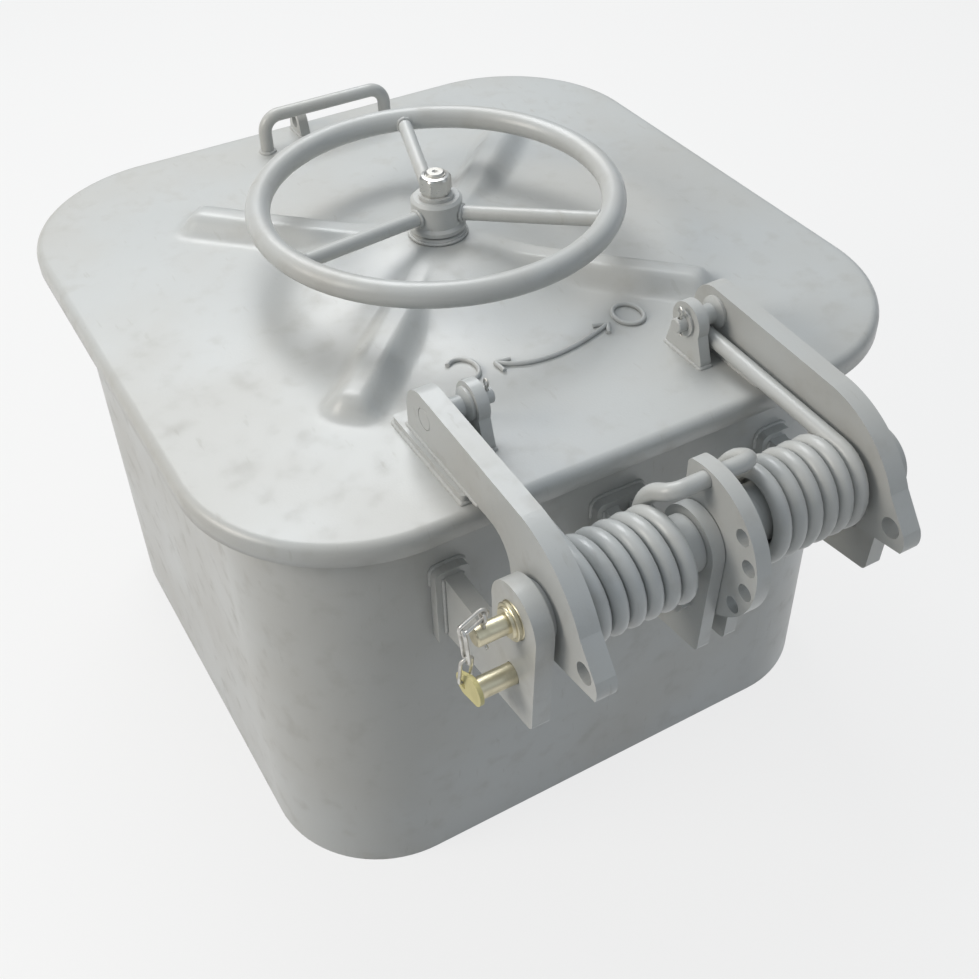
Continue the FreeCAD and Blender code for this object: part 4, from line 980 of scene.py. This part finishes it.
@dataclass
class Retainers:
    """The split pins, and the chain that holds the lock pin."""

    shop: Workshop
    hinge: Hinge
    eye_share: float = 3.2
    wire: float = 0.0015
    rise: float = 0.004
    reach: float = 0.009
    inset: float = 0.009
    far_inset: float = 0.004
    arm_pin: Place = (0.1065, -0.290, 0.548)
    arm_reach: float = 0.0075
    arm_rise: float = 0.003
    arm_wire: float = 0.0011
    link_wire: float = 0.0017

    def eye_geometry(self, wire: float) -> tuple[float, float]:
        """The outward bend's radius under a split pin's eye, and the angle it turns through."""
        spread = 2 * wire
        lean = math.acos((wire + 0.0001 + spread) / (spread + self.eye_share * wire))
        return spread, lean

    def split_pin(self, x: float, y: float, z: float, reach: float, rise: float,
                  wire: float, upside: int = 1) -> Mesh:
        """One pin: an eye, two legs through the hole, and their bent ends.

        Args:
            x: the hole's place along the hinge.
            y: its place across.
            z: the height of its middle.
            reach: half the hole's length.
            rise: how far the legs stand out of the hole.
            wire: the wire's radius.
            upside: one where the eye is on top, and minus one where it hangs.

        Returns:
            The pin's points and faces.
        """
        spread, lean = self.eye_geometry(wire)
        gap, eye = wire + 0.0001, self.eye_share * wire
        top, foot = z + reach + rise, z - reach
        up, across = Vector((0, 0, 1)), Vector((0, 1, 0))
        corner = Vector((x, y - gap - spread, top))
        round_top = Vector((x, y, top + (spread + eye) * math.sin(lean)))
        degrees = math.degrees(lean)
        path = [Vector((x, y - gap - rise * 1.2, foot - rise * 0.9))]
        path += [Vector((x, y - gap - rise * 0.4, foot - rise * 0.5))]
        path += [Vector((x, y - gap, foot)), Vector((x, y - gap, z))]
        path += arc(corner, across * spread, up * spread, 0, degrees, 4)
        path += arc(round_top, across * eye, up * eye, 180 + degrees, -degrees, 22)[1:-1]
        corner = Vector((x, y + gap + spread, top))
        path += arc(corner, across * -spread, up * spread, degrees, 0, 4)
        path += [Vector((x, y + gap, z)), Vector((x, y + gap, foot))]
        path += [Vector((x, y + gap + rise * 0.4, foot - rise * 0.5))]
        path += [Vector((x, y + gap + rise * 1.2, foot - rise * 0.9))]
        path = [Vector((p.x, p.y, z + upside * (p.z - z))) for p in path]
        return sweep(path, wire, 12)

    def link(self, start: Vector, end: Vector, normal: Vector) -> Mesh:
        """One long loop of the chain between two joints."""
        along = (end - start).normalized()
        curve = self.eye_share * self.link_wire
        normal = (normal - along * normal.dot(along)).normalized()
        aside = normal.cross(along)
        inset = curve - self.link_wire - 0.0003
        first, last = start + along * inset, end - along * inset
        path = arc(last, aside * curve, along * curve, 0, 180, 12)
        path += arc(first, aside * -curve, along * -curve, 0, 180, 12)
        return sweep(path, self.link_wire, 12, True)

    def build(self) -> None:
        """Makes the split pins and the chain."""
        hinge = self.hinge
        places = ((self.inset - hinge.shaft_end, 1), (hinge.shaft_far_end - self.far_inset, -1))
        pins = [self.split_pin(x, hinge.y, hinge.z, self.reach, self.rise, self.wire, upside)
                for x, upside in places]
        piece = self.shop.add("shaft_split_pins", "coaming", Slot.BRIGHT, pins)
        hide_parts("shaft_cotters")
        x, y, z = self.arm_pin
        pins = [self.split_pin(side * x, y, z, self.arm_reach, self.arm_rise, self.arm_wire)
                for side in (-1, 1)]
        piece = self.shop.add("arm_split_pins", "cover", Slot.BRIGHT, pins)
        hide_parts("pin_cotters")
        spread, lean = self.eye_geometry(self.wire)
        eye = self.eye_share * self.wire
        crown = hinge.z + self.reach + self.rise + (spread + eye) * math.sin(lean) + eye
        end = -hinge.shaft_end
        hold = hinge.polar(0, 0.068, 272)
        joints = [Vector((end + self.inset + self.wire + 0.0001, hinge.y, crown)),
                  Vector((end - 0.010, hinge.y, crown - 0.011)),
                  Vector((end - 0.004, hinge.y + 0.006, crown - 0.054)),
                  Vector((-0.232, hold.y + 0.017, hold.z - 0.008 + 0.0035))]
        normals = [Vector((0, 1, 0)), Vector((1, 0, 0)), Vector((0, 1, 0))]
        links = [self.link(joints[k], joints[k + 1], normals[k]) for k in range(3)]
        piece = self.shop.add("lock_pin_chain", None, Slot.BRIGHT, links)
        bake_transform(piece)
        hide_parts("pin_chain")


# The studio


@dataclass
class Studio:
    """The floor, the lamps and the camera."""

    lens: float = 47.43
    turn: float = -0.506041
    height: float = 0.730343
    roll: float = -0.0274905
    stand: Place = (-0.550608, -1.092185, 1.256744)

    def camera(self) -> None:
        """Puts the camera at the photograph's angle."""
        back = Vector((math.sin(self.turn) * math.cos(self.height),
                       -math.cos(self.turn) * math.cos(self.height), math.sin(self.height)))
        right = Vector((0, 0, 1)).cross(back).normalized()
        up = back.cross(right)
        across = right * math.cos(self.roll) + up * math.sin(self.roll)
        above = up * math.cos(self.roll) - right * math.sin(self.roll)
        data = bpy.data.cameras.new("camera")
        data.lens = self.lens
        data.clip_start = 0.05
        camera = bpy.data.objects.new("camera", data)
        turn = Matrix((across, above, back)).transposed()
        camera.matrix_world = Matrix.Translation(self.stand) @ turn.to_4x4()
        bpy.context.scene.collection.objects.link(camera)
        bpy.context.scene.camera = camera

    def lamp(self, name: str, place: Place, size: float, power: float,
             colour: Colour) -> None:
        """Adds one soft lamp aimed at the hatch.

        Args:
            name: the lamp's name.
            place: where it stands.
            size: the width of its square.
            power: its watts.
            colour: its light.
        """
        data = bpy.data.lights.new(name, "AREA")
        data.shape = "SQUARE"
        data.size = size
        data.energy = power
        data.color = colour
        lamp = bpy.data.objects.new(name, data)
        lamp.location = place
        aim = Vector((0, 0, 0.3)) - Vector(place)
        lamp.rotation_euler = aim.to_track_quat("-Z", "Y").to_euler()
        bpy.context.scene.collection.objects.link(lamp)

    def floor(self) -> None:
        """Lays a wide pale floor."""
        points = [Vector((x, y, 0)) for x, y in ((-9, -9), (9, -9), (9, 9), (-9, 9))]
        mesh = smooth_mesh("floor", [(points, [[0, 1, 2, 3]])])
        piece = bpy.data.objects.new("floor", mesh)
        bpy.context.scene.collection.objects.link(piece)
        graph = Graph("pale_floor")
        grain = graph.noise(3.0, 3.0)
        graph.dress(Base_Color=graph.mix(grain * 0.4, (0.5, 0.5, 0.49), (0.46, 0.46, 0.45)),
                    Roughness=0.85)
        seen = graph.add("ShaderNodeLightPath", {}, {}, "Is Camera Ray")
        for ray in ("Is Glossy Ray", "Is Transmission Ray"):
            seen = seen + graph.add("ShaderNodeLightPath", {}, {}, ray)
        graph.whiten(seen * 0.78)
        mesh.materials.append(graph.material)

    def world(self) -> None:
        """Lights the room from a sky that is brighter overhead, and shows the camera white."""
        world = bpy.data.worlds.new("room")
        bpy.context.scene.world = world
        world.use_nodes = True
        nodes = Nodes(world.node_tree)
        background = world.node_tree.nodes["Background"]
        where = nodes.add("ShaderNodeTexCoord", {}, {}, "Generated")
        height = nodes.add("ShaderNodeSeparateXYZ", {}, {0: where}, "Z")
        climb = nodes.add("ShaderNodeMapRange", {}, {0: height, 1: -0.1, 2: 0.75})
        sky = nodes.mix(climb, (0.16, 0.17, 0.19), (0.86, 0.93, 1.0))
        seen = nodes.add("ShaderNodeLightPath", {}, {}, "Is Camera Ray")
        nodes.feed(background.inputs["Color"], nodes.mix(seen, sky, (1.0, 1.0, 1.0)))
        nodes.feed(background.inputs["Strength"], seen * 0.38 + 0.62)

    def build(self) -> None:
        """Sets up the whole studio."""
        self.camera()
        self.floor()
        self.world()
        self.lamp("key", (-2.7, 0.3, 2.1), 1.3, 53.0, (1.0, 0.94, 0.86))
        self.lamp("top", (0.3, 1.7, 2.8), 1.7, 60.0, (0.98, 0.99, 1.0))
        self.lamp("fill", (1.6, -3.0, 1.8), 2.0, 9.0, (0.82, 0.9, 1.0))
        scene = bpy.context.scene
        scene.view_settings.view_transform = "Standard"


def main() -> None:
    """Builds the studio and every piece."""
    logging.basicConfig(level=logging.INFO, format="%(name)s: %(message)s")
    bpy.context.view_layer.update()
    Studio().build()
    shop = Workshop()
    shop.finish_nodes()
    hinge = Hinge()
    Springs(shop, hinge).build()
    Cover(shop).build()
    Shaft(shop, hinge).build()
    WheelNut(shop).build()
    Retainers(shop, hinge).build()
    CoverMarks(shop).build()
    Welds(shop).build()


if __name__ == "__main__":
    main()
